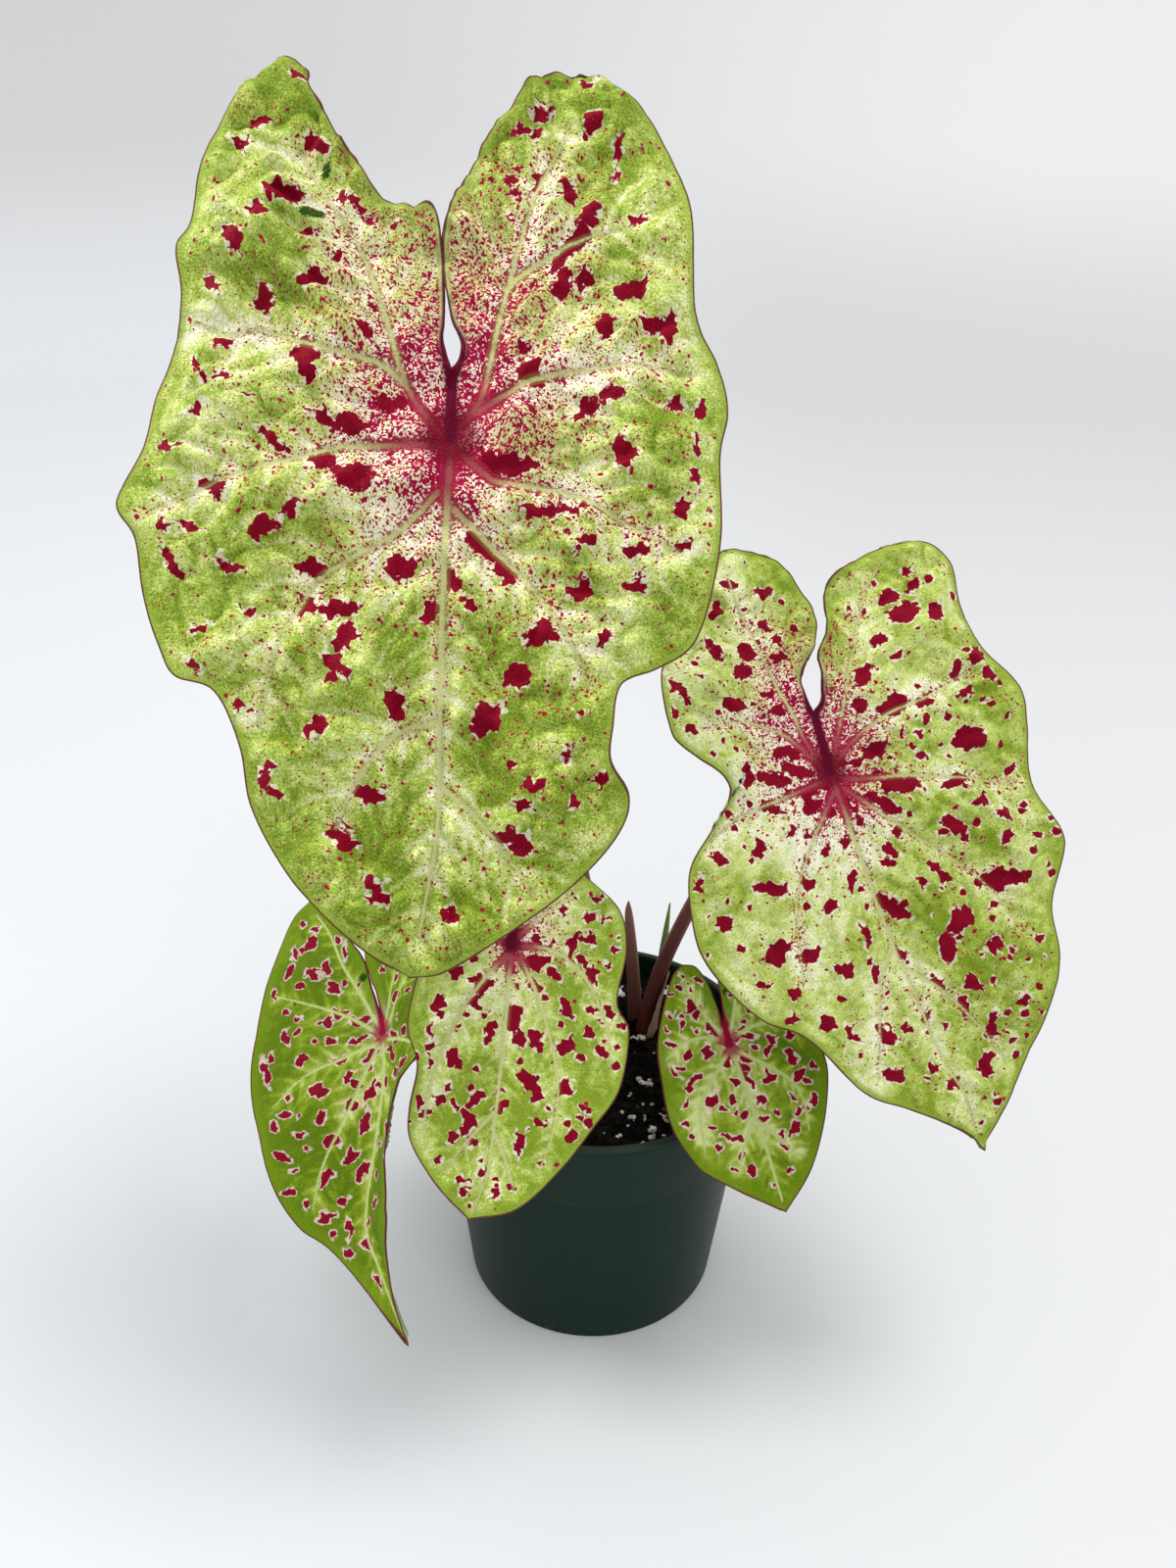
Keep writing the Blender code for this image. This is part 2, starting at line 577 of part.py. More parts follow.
def main():
    """Build the pot, the soil with the tuber, and every leaf and shoot."""
    clear_scene()
    pot(material("pot_green", (0.010, 0.022, 0.016, 1.0), 0.38))
    earth = soil(material("peat", (0.012, 0.009, 0.007, 1.0), 0.95))
    tuber = tuber_body("tuber", material("tuber_skin", (0.16, 0.09, 0.05, 1.0), 0.85))
    hollow = as_cutter(tuber_body("tuber_pocket", tuber.data.materials[0],
                                  GAP + 2 * CUTTER_EASE))
    holes = []
    for leaf in LEAVES:
        letter = leaf.name[-1]
        leaf.blade(material("leaf_" + letter, TOP_GREEN, 0.45))
        skin = material("stalk_" + letter, (0.17, 0.05, 0.04, 1.0), 0.45)
        route = leaf.stalk_route()
        sizes = leaf.stalk_sizes(len(route))
        tube("petiole_" + letter, route, sizes, skin)
        buried = [p for p in route if p.z < SOIL_LEVEL + BURIED_STALK]
        buried[0] = buried[0] - Vector((0.0, 0.0, GAP))
        holes.append(as_cutter(tube("hole_" + letter, buried, sizes, skin,
                                    extra=GAP + CUTTER_EASE)))
    for name, stations, colour in (
            ("shoot_brown", BROWN_SHOOT, (0.24, 0.09, 0.07, 1.0)),
            ("shoot_green", GREEN_SHOOT, (0.12, 0.30, 0.06, 1.0))):
        skin = material(name + "_skin", colour, 0.45)
        shoot(name, stations, skin)
        holes.append(as_cutter(shoot("hole_" + name, stations[:4], skin,
                                     GAP + CUTTER_EASE, GAP)))
    paper = material("sheath_paper", (0.52, 0.36, 0.30, 1.0), 0.6)
    sheath("sheath", paper)
    slot = as_cutter(sheath("sheath_slot", paper, GAP))
    slot.location.z = -GAP * MM
    cut(tuber, holes)
    cut(earth, holes + [hollow, slot])


main()
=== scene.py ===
"""Looks of a potted caladium: five spotted heart-shaped leaves over a green pot.

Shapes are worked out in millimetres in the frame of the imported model, with
the origin at the middle of the pot's underside, and are turned into metres
when a mesh is made. A leaf is laid out flat, as (across, along) from the top
of its stalk with the tip at negative along, and is then bent into place.
"""

import json
import logging
import math
import random
from dataclasses import dataclass, field, replace
from enum import Enum
from typing import Any, Iterable, NamedTuple, Sequence

import bmesh
import bpy
import numpy as np
from mathutils import Matrix, Vector, noise

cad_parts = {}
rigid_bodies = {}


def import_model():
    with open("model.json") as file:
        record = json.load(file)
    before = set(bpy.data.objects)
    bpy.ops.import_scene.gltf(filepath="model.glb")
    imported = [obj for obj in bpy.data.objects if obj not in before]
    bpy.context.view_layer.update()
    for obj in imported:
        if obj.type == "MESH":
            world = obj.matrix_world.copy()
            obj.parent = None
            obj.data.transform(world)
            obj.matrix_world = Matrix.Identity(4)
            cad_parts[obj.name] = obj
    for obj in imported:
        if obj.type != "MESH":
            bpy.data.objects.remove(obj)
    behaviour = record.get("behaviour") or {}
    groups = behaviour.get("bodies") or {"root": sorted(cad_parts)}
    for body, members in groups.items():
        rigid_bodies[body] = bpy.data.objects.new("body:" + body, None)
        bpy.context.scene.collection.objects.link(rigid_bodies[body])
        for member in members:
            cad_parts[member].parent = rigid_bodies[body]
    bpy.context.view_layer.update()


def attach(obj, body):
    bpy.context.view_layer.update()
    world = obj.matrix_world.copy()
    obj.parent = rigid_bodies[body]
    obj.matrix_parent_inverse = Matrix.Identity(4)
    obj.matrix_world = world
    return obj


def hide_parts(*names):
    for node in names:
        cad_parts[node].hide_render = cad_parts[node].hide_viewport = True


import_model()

LOG = logging.getLogger("caladium")

MM = 0.001
BODY = "root"
SEED = 7

Colour = tuple[float, float, float, float]
Pair = tuple[float, float]
Triple = tuple[float, float, float]

# A place laid flat on a leaf, as (across, along), and a place in space
Flat = Pair
Place = Triple

# Pot, the same as the model's
POT_TOP_RADIUS = 54.0
POT_BASE_RADIUS = 43.0
POT_HEIGHT = 92.7
POT_WALL = 2.6
SOIL_LEVEL = 84.7

# Grains of perlite in one clump
CLUMP = 6

# Blade, the same as the model's: where the right lobe's own fold starts and
# the length over which it sets in, the still area round the joint, the pleats
# of each half, and a place well past every tip
LOBE_START = -32.0
LOBE_BLEND = 20.0
STILL_RADIUS = 12.0
PLEATS = 7
BELOW_TIP = -200.0

# Blade, of the looks alone: its thickness, and how much the ribs and the
# callus over the stalk stand out of the underside
BLADE_THICKNESS = 0.5
RIB_DEPTH = 0.9
CALLUS_DEPTH = 1.1
CALLUS_RADIUS = 4.0

# Turns of a side vein's steps from its main vein, in degrees
BRANCH_BENDS = (58.0, 50.0, 38.0, 24.0)

# A blotch is measured up to this distance, and its slope over this step
MARK_REACH = 6.0
SLOPE_STEP = 0.6

# Vertices nearer than this are merged, within a ring and along a leaf's midrib
WELD = 0.001
SEAM_WELD = 0.02

# Shares closer than this are equal, and a distance that means nothing near
TINY = 1.0e-9
FAR = 1.0e3


def pot_radius(height: float) -> float:
    """Outside radius of the pot at a height."""
    return POT_BASE_RADIUS + (POT_TOP_RADIUS - POT_BASE_RADIUS) / POT_HEIGHT * height


def display(red: float, green: float, blue: float) -> Colour:
    """Turn a colour as it shows on a screen, 0 to 255, into linear light."""
    parts = []
    for part in (red, green, blue):
        share = part / 255.0
        parts.append(share / 12.92 if share <= 0.04045 else ((share + 0.055) / 1.055) ** 2.4)
    return (parts[0], parts[1], parts[2], 1.0)


def smooth(low: float, high: float, value: np.ndarray) -> np.ndarray:
    """Ease from 0 at low to 1 at high."""
    share = np.clip((value - low) / (high - low), 0.0, 1.0)
    return share * share * (3.0 - 2.0 * share)


def smooth_curve(points: Sequence[Sequence[float]], per_span: int = 8) -> np.ndarray:
    """Pass a Catmull-Rom curve through points.

    Args:
        points: Knots of the curve, of any dimension.
        per_span: Steps between two knots.

    Returns:
        The curve as a dense polyline, one row for each point.
    """
    knots = np.array(points, float)
    ends = np.vstack([2 * knots[0] - knots[1], knots, 2 * knots[-1] - knots[-2]])
    dense = []
    for before, start, end, after in zip(ends, ends[1:], ends[2:], ends[3:]):
        for step in range(per_span):
            t = step / per_span
            dense.append(0.5 * (2 * start + (end - before) * t
                         + (2 * before - 5 * start + 4 * end - after) * t * t
                         + (3 * start - before - 3 * end + after) * t ** 3))
    dense.append(knots[-1])
    return np.array(dense)


def spans(line: np.ndarray) -> np.ndarray:
    """Lengths of the straight pieces of a polyline."""
    return np.sqrt((np.diff(line, axis=0) ** 2).sum(axis=1))


def lengths(line: np.ndarray) -> np.ndarray:
    """Length of a polyline up to each of its points."""
    return np.concatenate([[0.0], np.cumsum(spans(line))])


def along(line: np.ndarray, fractions: np.ndarray) -> np.ndarray:
    """Find the points at fractions of a polyline's length.

    Args:
        line: The polyline, one row for each point.
        fractions: Shares of the length, from 0 to 1.

    Returns:
        One row for each fraction.
    """
    reach = lengths(line)
    wanted = np.asarray(fractions) * reach[-1]
    return np.stack([np.interp(wanted, reach, column) for column in line.T], axis=1)


def wander(x: np.ndarray, y: np.ndarray, size: float, layer: float) -> np.ndarray:
    """Smooth noise from about -1 to 1 over flat places.

    Args:
        x: Across positions in millimetres.
        y: Along positions in millimetres.
        size: Width of one swell in millimetres.
        layer: Picks one of many independent patterns.

    Returns:
        One value for each place.
    """
    spots = zip((x / size).tolist(), (y / size).tolist())
    return np.array([noise.noise(Vector((a, b, layer))) for a, b in spots]) * 1.6


def line_distance(x: np.ndarray, y: np.ndarray, line: np.ndarray) -> tuple[np.ndarray, np.ndarray]:
    """Measure how far places are from a polyline.

    Args:
        x: Across positions.
        y: Along positions.
        line: The polyline, one row for each point.

    Returns:
        The distance, and the share of the line's length at the nearest point.
    """
    steps = spans(line)
    total = steps.sum()
    best = np.full(x.shape, FAR)
    where = np.zeros(x.shape)
    passed = 0.0
    for start, end, step in zip(line, line[1:], steps):
        if step > 0.0:
            ahead = (end - start) / step
            part = np.clip((x - start[0]) * ahead[0] + (y - start[1]) * ahead[1], 0.0, step)
            gap = np.hypot(x - start[0] - part * ahead[0], y - start[1] - part * ahead[1])
            nearer = gap < best
            best = np.where(nearer, gap, best)
            where = np.where(nearer, (passed + part) / total, where)
        passed += step
    return best, where


class Value:
    """A number that changes over a surface, held as a shader socket."""

    def __init__(self, surface: "Surface", socket: bpy.types.NodeSocket) -> None:
        """Hold a socket of a surface's node tree."""
        self.surface = surface
        self.socket = socket

    def math(self, operation: str, *others: "Value | float", clamp: bool = False) -> "Value":
        """Add a Math node.

        Args:
            operation: The node's operation.
            others: Its second and third values.
            clamp: Whether the result is kept between 0 and 1.

        Returns:
            The node's result.
        """
        inputs = {0: self}
        inputs.update({place + 1: other for place, other in enumerate(others)})
        made = self.surface.node("ShaderNodeMath",
                                 {"operation": operation, "use_clamp": clamp}, inputs)
        return Value(self.surface, made.outputs[0])

    def __add__(self, other: "Value | float") -> "Value":
        """Add."""
        return self.math("ADD", other)

    def __radd__(self, other: float) -> "Value":
        """Add to a plain number."""
        return self.math("ADD", other)

    def __sub__(self, other: "Value | float") -> "Value":
        """Subtract."""
        return self.math("SUBTRACT", other)

    def __rsub__(self, other: float) -> "Value":
        """Subtract from a plain number."""
        made = self.surface.node("ShaderNodeMath", {"operation": "SUBTRACT"}, {0: other, 1: self})
        return Value(self.surface, made.outputs[0])

    def __mul__(self, other: "Value | float") -> "Value":
        """Multiply."""
        return self.math("MULTIPLY", other)

    def __rmul__(self, other: float) -> "Value":
        """Multiply a plain number."""
        return self.math("MULTIPLY", other)

    def __lt__(self, other: "Value | float") -> "Value":
        """Give 1 where this is the smaller, else 0."""
        return self.math("LESS_THAN", other)

    def at_least(self, other: "Value | float") -> "Value":
        """Take the larger of two."""
        return self.math("MAXIMUM", other)

    def at_most(self, other: "Value | float") -> "Value":
        """Take the smaller of two."""
        return self.math("MINIMUM", other)

    def clamped(self) -> "Value":
        """Keep between 0 and 1."""
        return self.math("ADD", 0.0, clamp=True)

    def ease(self, low: float, high: float) -> "Value":
        """Rise smoothly from 0 at low to 1 at high, or fall if high is lower."""
        backward = high < low
        bounds = {"From Min": min(low, high), "From Max": max(low, high),
                  "To Min": 1.0 if backward else 0.0, "To Max": 0.0 if backward else 1.0}
        made = self.surface.node("ShaderNodeMapRange", {"interpolation_type": "SMOOTHSTEP"},
                                 {"Value": self, **bounds})
        return Value(self.surface, made.outputs["Result"])


class Surface:
    """A material under construction."""

    def __init__(self, name: str) -> None:
        """Start a material that holds one Principled shader."""
        self.made = bpy.data.materials.new(name)
        self.made.use_nodes = True
        self.tree = self.made.node_tree
        self.shader = self.tree.nodes["Principled BSDF"]

    def node(self, kind: str, settings: dict[str, Any] | None = None,
             inputs: dict[Any, Any] | None = None) -> bpy.types.Node:
        """Add a node.

        Args:
            kind: The node's type.
            settings: Attributes that are set first.
            inputs: Values or links of its sockets, by name or number.

        Returns:
            The node.
        """
        made = self.tree.nodes.new(kind)
        for key, value in (settings or {}).items():
            if key == "stops":
                self.set_stops(made.color_ramp, value)
            else:
                setattr(made, key, value)
        for key, value in (inputs or {}).items():
            self.feed(made.inputs[key], value)
        return made

    @staticmethod
    def set_stops(ramp: bpy.types.ColorRamp, colours: Sequence[Colour]) -> None:
        """Spread colours evenly over a ramp."""
        while len(ramp.elements) < len(colours):
            ramp.elements.new(0.5)
        for place, colour in enumerate(colours):
            ramp.elements[place].position = place / (len(colours) - 1)
            ramp.elements[place].color = colour

    def ramp(self, value: "Value", colours: Sequence[Colour]) -> bpy.types.NodeSocket:
        """Turn a value of 0 to 1 into a colour between evenly spread ones."""
        made = self.node("ShaderNodeValToRGB", {"stops": colours}, {0: value})
        return made.outputs[0]

    def feed(self, socket: bpy.types.NodeSocket, value: Any) -> None:
        """Link a value or a socket to a socket, or set it plainly."""
        if isinstance(value, Value):
            self.tree.links.new(value.socket, socket)
        elif isinstance(value, bpy.types.NodeSocket):
            self.tree.links.new(value, socket)
        else:
            socket.default_value = value

    def attribute(self, name: str) -> bpy.types.NodeSocket:
        """Read a vector attribute of the mesh."""
        return self.node("ShaderNodeAttribute", {"attribute_name": name}).outputs["Vector"]

    def parts(self, vector: bpy.types.NodeSocket) -> tuple["Value", "Value", "Value"]:
        """Split a vector into its three numbers."""
        made = self.node("ShaderNodeSeparateXYZ", None, {0: vector})
        return tuple(Value(self, socket) for socket in made.outputs)

    def place(self) -> bpy.types.NodeSocket:
        """Give the place on the object, in metres."""
        return self.node("ShaderNodeTexCoord").outputs["Object"]

    def vector(self, operation: str, first: Any, second: Any) -> bpy.types.Node:
        """Add a Vector Math node of two vectors."""
        return self.node("ShaderNodeVectorMath", {"operation": operation}, {0: first, 1: second})

    def scaled(self, vector: Any, factors: Triple) -> bpy.types.NodeSocket:
        """Stretch a vector by three factors."""
        return self.vector("MULTIPLY", vector, factors).outputs[0]

    def gap(self, first: Any, second: Any) -> "Value":
        """Give the distance between two places."""
        return Value(self, self.vector("DISTANCE", first, second).outputs["Value"])

    def grain(self, where: Any, scale: float, detail: float = 2.0,
              roughness: float = 0.5) -> "Value":
        """Add a noise pattern from 0 to 1."""
        made = self.node("ShaderNodeTexNoise", {"noise_dimensions": "3D"},
                         {"Vector": where, "Scale": scale, "Detail": detail,
                          "Roughness": roughness})
        return Value(self, made.outputs[0])

    def cells(self, where: Any, scale: float, feature: str = "F1",
              flat: bool = True) -> bpy.types.Node:
        """Add a Voronoi pattern, on a plane or in space."""
        return self.node("ShaderNodeTexVoronoi",
                         {"voronoi_dimensions": "2D" if flat else "3D", "feature": feature},
                         {"Vector": where, "Scale": scale})

    def net(self, where: Any, scale: float) -> "Value":
        """Give the distance to the nearest border between flat cells."""
        return Value(self, self.cells(where, scale, "DISTANCE_TO_EDGE").outputs["Distance"])

    def pits(self, where: Any, scale: float) -> "Value":
        """Give the distance to the nearest of many seeds in space."""
        return Value(self, self.cells(where, scale, flat=False).outputs["Distance"])

    def blend(self, factor: Any, first: Any, second: Any) -> bpy.types.NodeSocket:
        """Mix two colours.

        Args:
            factor: 0 for the first colour, 1 for the second.
            first: A colour or its socket.
            second: A colour or its socket.

        Returns:
            The mixed colour's socket.
        """
        made = self.node("ShaderNodeMix", {"data_type": "RGBA", "clamp_factor": True},
                         {0: factor, 6: first, 7: second})
        return made.outputs[2]

    def bump(self, height: "Value", depth: float, strength: float = 1.0) -> None:
        """Raise the surface by a height of 0 to 1, times a depth in metres."""
        made = self.node("ShaderNodeBump", None,
                         {"Height": height, "Distance": depth, "Strength": strength})
        self.feed(self.shader.inputs["Normal"], made.outputs["Normal"])

    def finish(self, colour: Any, roughness: Any, specular: float = 0.5,
               **others: Any) -> bpy.types.Material:
        """Feed the shader.

        Args:
            colour: Base colour or its socket.
            roughness: Roughness or its value.
            specular: The reflection at normal view.
            others: Further sockets, with spaces written as underscores.

        Returns:
            The finished material.
        """
        self.feed(self.shader.inputs["Base Color"], colour)
        self.feed(self.shader.inputs["Roughness"], roughness)
        self.feed(self.shader.inputs["Specular IOR Level"], specular)
        for key, value in others.items():
            self.feed(self.shader.inputs[key.replace("_", " ")], value)
        return self.made


class LeafKind(Enum):
    """The two looks of the leaves, with the record's slot of each."""

    PALE = "leaf_pale"
    GREEN = "leaf_green"


CRIMSON = display(136, 0, 34)
BERRY = display(168, 14, 76)
MAROON = display(112, 0, 26)
ROSE = display(232, 190, 196)
FLECK = display(22, 66, 6)
FINE_NET = display(164, 172, 98)
WIDE_NET = display(126, 132, 62)
VEIN_SHADE = display(132, 132, 72)
VEIN_RED = display(146, 76, 74)
HEART = display(104, 4, 30)
MARGIN = display(98, 30, 46)

# Width and strength of the pale bands along the main veins, pallor of the
# speckled area, and how much less the dark of the notch spreads
PALLOR = {LeafKind.PALE: (5.0, 0.36, 0.46), LeafKind.GREEN: (3.2, 0.40, 0.0)}
NOTCH_GAIN = {LeafKind.PALE: 1.0, LeafKind.GREEN: 1.7}


@dataclass(frozen=True)
class LeafTop:
    """Upper side of a leaf: cream and green mottling under crimson marks.

    Attributes:
        name: The material's name.
        grounds: Ground colours, from the palest to the deepest green.
        vein: Colour of the main veins.
        rim: Green of the band along the margin.
        rim_width: Width of that band in millimetres.
        block: Size of the cells that give the blotches their corners.
        grit: Strength of the fine grain in the green.
        side_width: Width of the pale bands along the side veins.
        side_glow: Strength of those bands.
        vein_reach: Half width of a main vein's colour, in half widths of the vein.
        halo: Colour of the pale ring round a blotch.
        halo_width: Width of that ring in millimetres.
        blocky: How much the blotches take their corners from the cells.
        throat: Colour of the notch's edge.
        net: Strength of the fine net of the smallest veins.
        small_marks: Share of the leaf's wide cells that hold a small blotch.
    """

    name: str
    grounds: tuple[Colour, ...]
    vein: Colour
    rim: Colour
    rim_width: float
    block: float
    grit: float
    side_width: float
    side_glow: float
    vein_reach: float
    halo: Colour
    halo_width: float
    blocky: float
    throat: Colour
    net: float
    small_marks: float = 0.0

    def ground(self, s: Surface, flat: Any, edge: Value) -> tuple[Any, Value]:
        """Mottle the leaf from cream to green, with pale side veins and painted shade along the
        relief's creases.

        Args:
            s: The surface under construction.
            flat: Flat place on the leaf.
            edge: Distance from the margin.

        Returns:
            The colour, and the fine grain that the relief uses too.
        """
        _, side_vein, _ = s.parts(s.attribute("veins"))
        _, green_depth_and_shade, wash = s.parts(s.attribute("tones"))
        fine = s.grain(flat, 1.55, 2.0, 0.75)
        middle = s.grain(flat, 0.42, 2.0, 0.55)
        broad = s.grain(flat, 0.10, 3.0, 0.6)
        pale = side_vein.ease(self.side_width, 0.15) * self.side_glow
        # The depth of the green holds painted shade along the relief's creases
        patch = green_depth_and_shade + (broad - 0.5) * 1.1 + (middle - 0.5) * 0.8 + (fine - 0.5) * self.grit
        colour = s.ramp((patch - pale).clamped(), self.grounds)
        rim = edge.ease(self.rim_width, 0.3 * self.rim_width) * 0.8
        colour = s.blend(rim, colour, self.rim)
        colour = s.blend(s.net(flat, 0.95).ease(0.15, 0.0) * self.net, colour, FINE_NET)
        colour = s.blend(s.net(flat, 0.36).ease(0.07, 0.0) * self.net, colour, WIDE_NET)
        return s.blend(wash * 0.8, colour, ROSE), fine

    def spots(self, s: Surface, flat: Any) -> Value:
        """Sprinkle speckles and small dots, as many as the leaf's density asks for."""
        density, _, _ = s.parts(s.attribute("tones"))
        finest = s.cells(flat, 2.6)
        fine_rand, _, _ = s.parts(finest.outputs["Color"])
        dust = fine_rand < density * 0.78 - 0.05
        grains = s.cells(flat, 1.4)
        grain_rand, _, _ = s.parts(grains.outputs["Color"])
        grain = grain_rand < density * 0.32 - 0.02
        drops = s.cells(flat, 0.40)
        drop_rand, drop_size, _ = s.parts(drops.outputs["Color"])
        far = s.gap(finest.outputs["Position"], drops.outputs["Position"])
        drop = (drop_rand < density * 0.5) * (far < drop_size * 0.5 + 0.2)
        return dust.at_least(grain).at_least(drop)

    def blotch_edge(self, s: Surface, flat: Any) -> Value:
        """Distance from the blotches, with the corners of the leaf's small cells."""
        slope_x, slope_y, mark = s.parts(s.attribute("marks"))
        blocks = s.cells(flat, 1.0 / self.block)
        rand, _, _ = s.parts(blocks.outputs["Color"])
        away = s.scaled(s.vector("SUBTRACT", blocks.outputs["Position"], flat).outputs[0],
                        (self.blocky,) * 3)
        away_x, away_y, _ = s.parts(away)
        large = mark + away_x * slope_x + away_y * slope_y + (rand - 0.5) * 0.14
        seeds = s.cells(flat, 0.18)
        chance, size, _ = s.parts(seeds.outputs["Color"])
        moved = s.vector("ADD", flat, away).outputs[0]
        small = s.gap(moved, seeds.outputs["Position"]) - size * 0.9 - 0.35
        return large.at_most(small + (1.0 - (chance < self.small_marks)) * 9.0)

    def material(self) -> bpy.types.Material:
        """Make the material from the blade's attributes."""
        s = Surface(self.name)
        flat = s.attribute("flat")
        vein, side_vein, tint = s.parts(s.attribute("veins"))
        _, _, wash = s.parts(s.attribute("tones"))
        edge, sinus, fleck = s.parts(s.attribute("edges"))
        colour, fine = self.ground(s, flat, edge)
        grain = fine - 0.5
        colour = s.blend((fleck + grain * 3.2).ease(0.25, -0.25), colour, FLECK)
        outline = self.blotch_edge(s, flat)
        ring = outline.ease(self.halo_width * 1.3, self.halo_width * 0.5)
        colour = s.blend(ring * 0.6, colour, self.halo)
        spots = self.spots(s, flat) * edge.ease(0.8, 1.6)
        colour = s.blend(spots, colour, s.blend(fine, CRIMSON, BERRY))
        blotch = outline.ease(0.07, -0.07)
        colour = s.blend(blotch, colour, s.blend(fine, CRIMSON, MAROON))
        colour = s.blend(vein.ease(2.2, 1.2) * self.net * 0.7, colour, VEIN_SHADE)
        flank = (vein.ease(3.0, 0.8) * tint.ease(0.12, 0.5) + grain * 1.8).ease(0.40, 0.70)
        colour = s.blend(flank * 0.9, colour, s.blend(fine, CRIMSON, BERRY))
        vein_colour = s.blend(tint.ease(0.24, 0.52), self.vein, VEIN_RED)
        band = vein.ease(self.vein_reach, 0.35 * self.vein_reach)
        colour = s.blend(band * 0.95, colour, vein_colour)
        heart = ((wash - 0.52) * 2.6 + grain * 2.2).clamped()
        colour = s.blend(heart * 0.9, colour, HEART)
        colour = s.blend(sinus.ease(3.6, 1.6), colour, self.throat)
        colour = s.blend(edge.ease(0.55, 0.3) * 0.9, colour, MARGIN)
        height = (s.net(flat, 0.85).ease(0.0, 0.22) * 0.4 + fine * 0.35
                  + vein.ease(0.2, 1.4) * 0.5 + side_vein.ease(0.0, 1.0) * 0.25)
        s.bump(height, 0.00036, 0.8)
        return s.finish(colour, 0.50 + fine * 0.14 - blotch * 0.05, 0.06)


@dataclass(frozen=True)
class LeafUnder:
    """Underside of a leaf: dull grey-green, with the marks showing faintly."""

    name: str
    ground: Colour = display(168, 184, 140)
    dim: Colour = display(128, 152, 100)
    stain: Colour = display(128, 70, 82)
    rib: Colour = display(176, 166, 132)
    rib_red: Colour = display(140, 84, 78)

    def material(self) -> bpy.types.Material:
        """Make the material from the blade's attributes."""
        s = Surface(self.name)
        flat = s.attribute("flat")
        _, _, mark = s.parts(s.attribute("marks"))
        vein, side_vein, tint = s.parts(s.attribute("veins"))
        dots, ground, _ = s.parts(s.attribute("tones"))
        fine = s.grain(flat, 0.9, 3.0, 0.6)
        net = s.net(flat, 0.7)
        # The green depth from the tones also carries the painted shade of the relief's creases
        colour = s.blend((ground * 0.8 + fine * 0.5).clamped(), self.ground, self.dim)
        colour = s.blend(net.ease(0.12, 0.0) * 0.3, colour, self.ground)
        colour = s.blend(mark.ease(0.4, -0.3) * 0.75, colour, self.stain)
        colour = s.blend((dots * fine).clamped() * 0.8, colour, self.stain)
        colour = s.blend(side_vein.ease(1.1, 0.2) * 0.4, colour, self.rib)
        colour = s.blend(vein.ease(1.3, 0.8), colour, s.blend(tint, self.rib, self.rib_red))
        s.bump(net.ease(0.15, 0.0) * 0.6 + fine * 0.4, 0.00025, 0.7)
        return s.finish(colour, 0.55 + fine * 0.12, 0.35)


@dataclass(frozen=True)
class StalkSkin:
    """Smooth skin of a leaf stalk or a shoot, streaked along its length."""

    name: str
    low: Colour
    high: Colour
    streak: Colour
    low_at: float
    high_at: float
    gloss: float = 0.38

    def material(self) -> bpy.types.Material:
        """Make the material; its colour changes with the height."""
        s = Surface(self.name)
        place = s.place()
        _, _, height = s.parts(place)
        turn, length, _ = s.parts(s.attribute("skin"))
        round_it = s.node("ShaderNodeCombineXYZ", None, {0: turn * 9.0, 1: length * 0.05})
        streaks = s.grain(round_it.outputs[0], 1.0, 3.0, 0.6)
        fleck = s.grain(s.scaled(place, (1.0, 1.0, 0.35)), 1500.0, 2.0, 0.6)
        climb = height.ease(self.low_at * MM, self.high_at * MM)
        colour = s.blend(climb, self.low, self.high)
        colour = s.blend((streaks - 0.45).clamped() * 1.6, colour, self.streak)
        colour = s.blend((fleck - 0.55).clamped() * 1.4, colour, self.low)
        s.bump(streaks * 0.6 + fleck * 0.4, 0.00012, 0.6)
        return s.finish(colour, self.gloss + fleck * 0.18, 0.28)


@dataclass(frozen=True)
class PotPlastic:
    """Dark green moulded plastic with a satin shine, faint scuffs and dust."""

    ground: Colour = display(8, 32, 22)
    worn: Colour = display(18, 42, 32)
    dust: Colour = display(70, 76, 64)

    def material(self) -> bpy.types.Material:
        """Make the material from the place on the pot."""
        s = Surface("pot_plastic")
        place = s.place()
        _, _, height = s.parts(place)
        cloud = s.grain(place, 26.0, 3.0, 0.55)
        fine = s.grain(place, 900.0, 2.0, 0.6)
        scratch = s.grain(s.scaled(place, (1.0, 1.0, 9.0)), 90.0, 2.0, 0.7)
        colour = s.blend((cloud * 0.55 + fine * 0.15).clamped(), self.ground, self.worn)
        low = height.ease(0.012, 0.0) * fine.ease(0.45, 0.75)
        rim = height.ease(0.0905, 0.0927) * 0.35
        colour = s.blend((low * 0.5 + rim).clamped(), colour, self.dust)
        rough = 0.34 + cloud * 0.10 + scratch.ease(0.55, 0.8) * 0.10 + fine * 0.05
        s.bump(fine * 0.5 + cloud * 0.5, 0.00006, 0.5)
        return s.finish(colour, rough, 0.10)


@dataclass(frozen=True)
class Peat:
    """Black, crumbly potting soil with brown fibres."""

    name: str = "peat_soil"
    dark: Colour = display(8, 6, 5)
    brown: Colour = display(34, 23, 17)
    thread: Colour = display(84, 60, 42)

    def material(self) -> bpy.types.Material:
        """Make the material from the place in the soil."""
        s = Surface(self.name)
        place = s.place()
        lumps = s.grain(place, 420.0, 4.0, 0.7)
        fibre = s.grain(s.scaled(place, (3.0, 1.0, 1.0)), 260.0, 2.0, 0.6)
        colour = s.blend(lumps.ease(0.45, 0.75), self.dark, self.brown)
        colour = s.blend(fibre.ease(0.68, 0.78) * 0.4, colour, self.thread)
        s.bump(lumps * 0.6 + s.pits(place, 620.0) * 0.6, 0.0010, 1.0)
        return s.finish(colour, 0.86 + lumps * 0.1, 0.12)


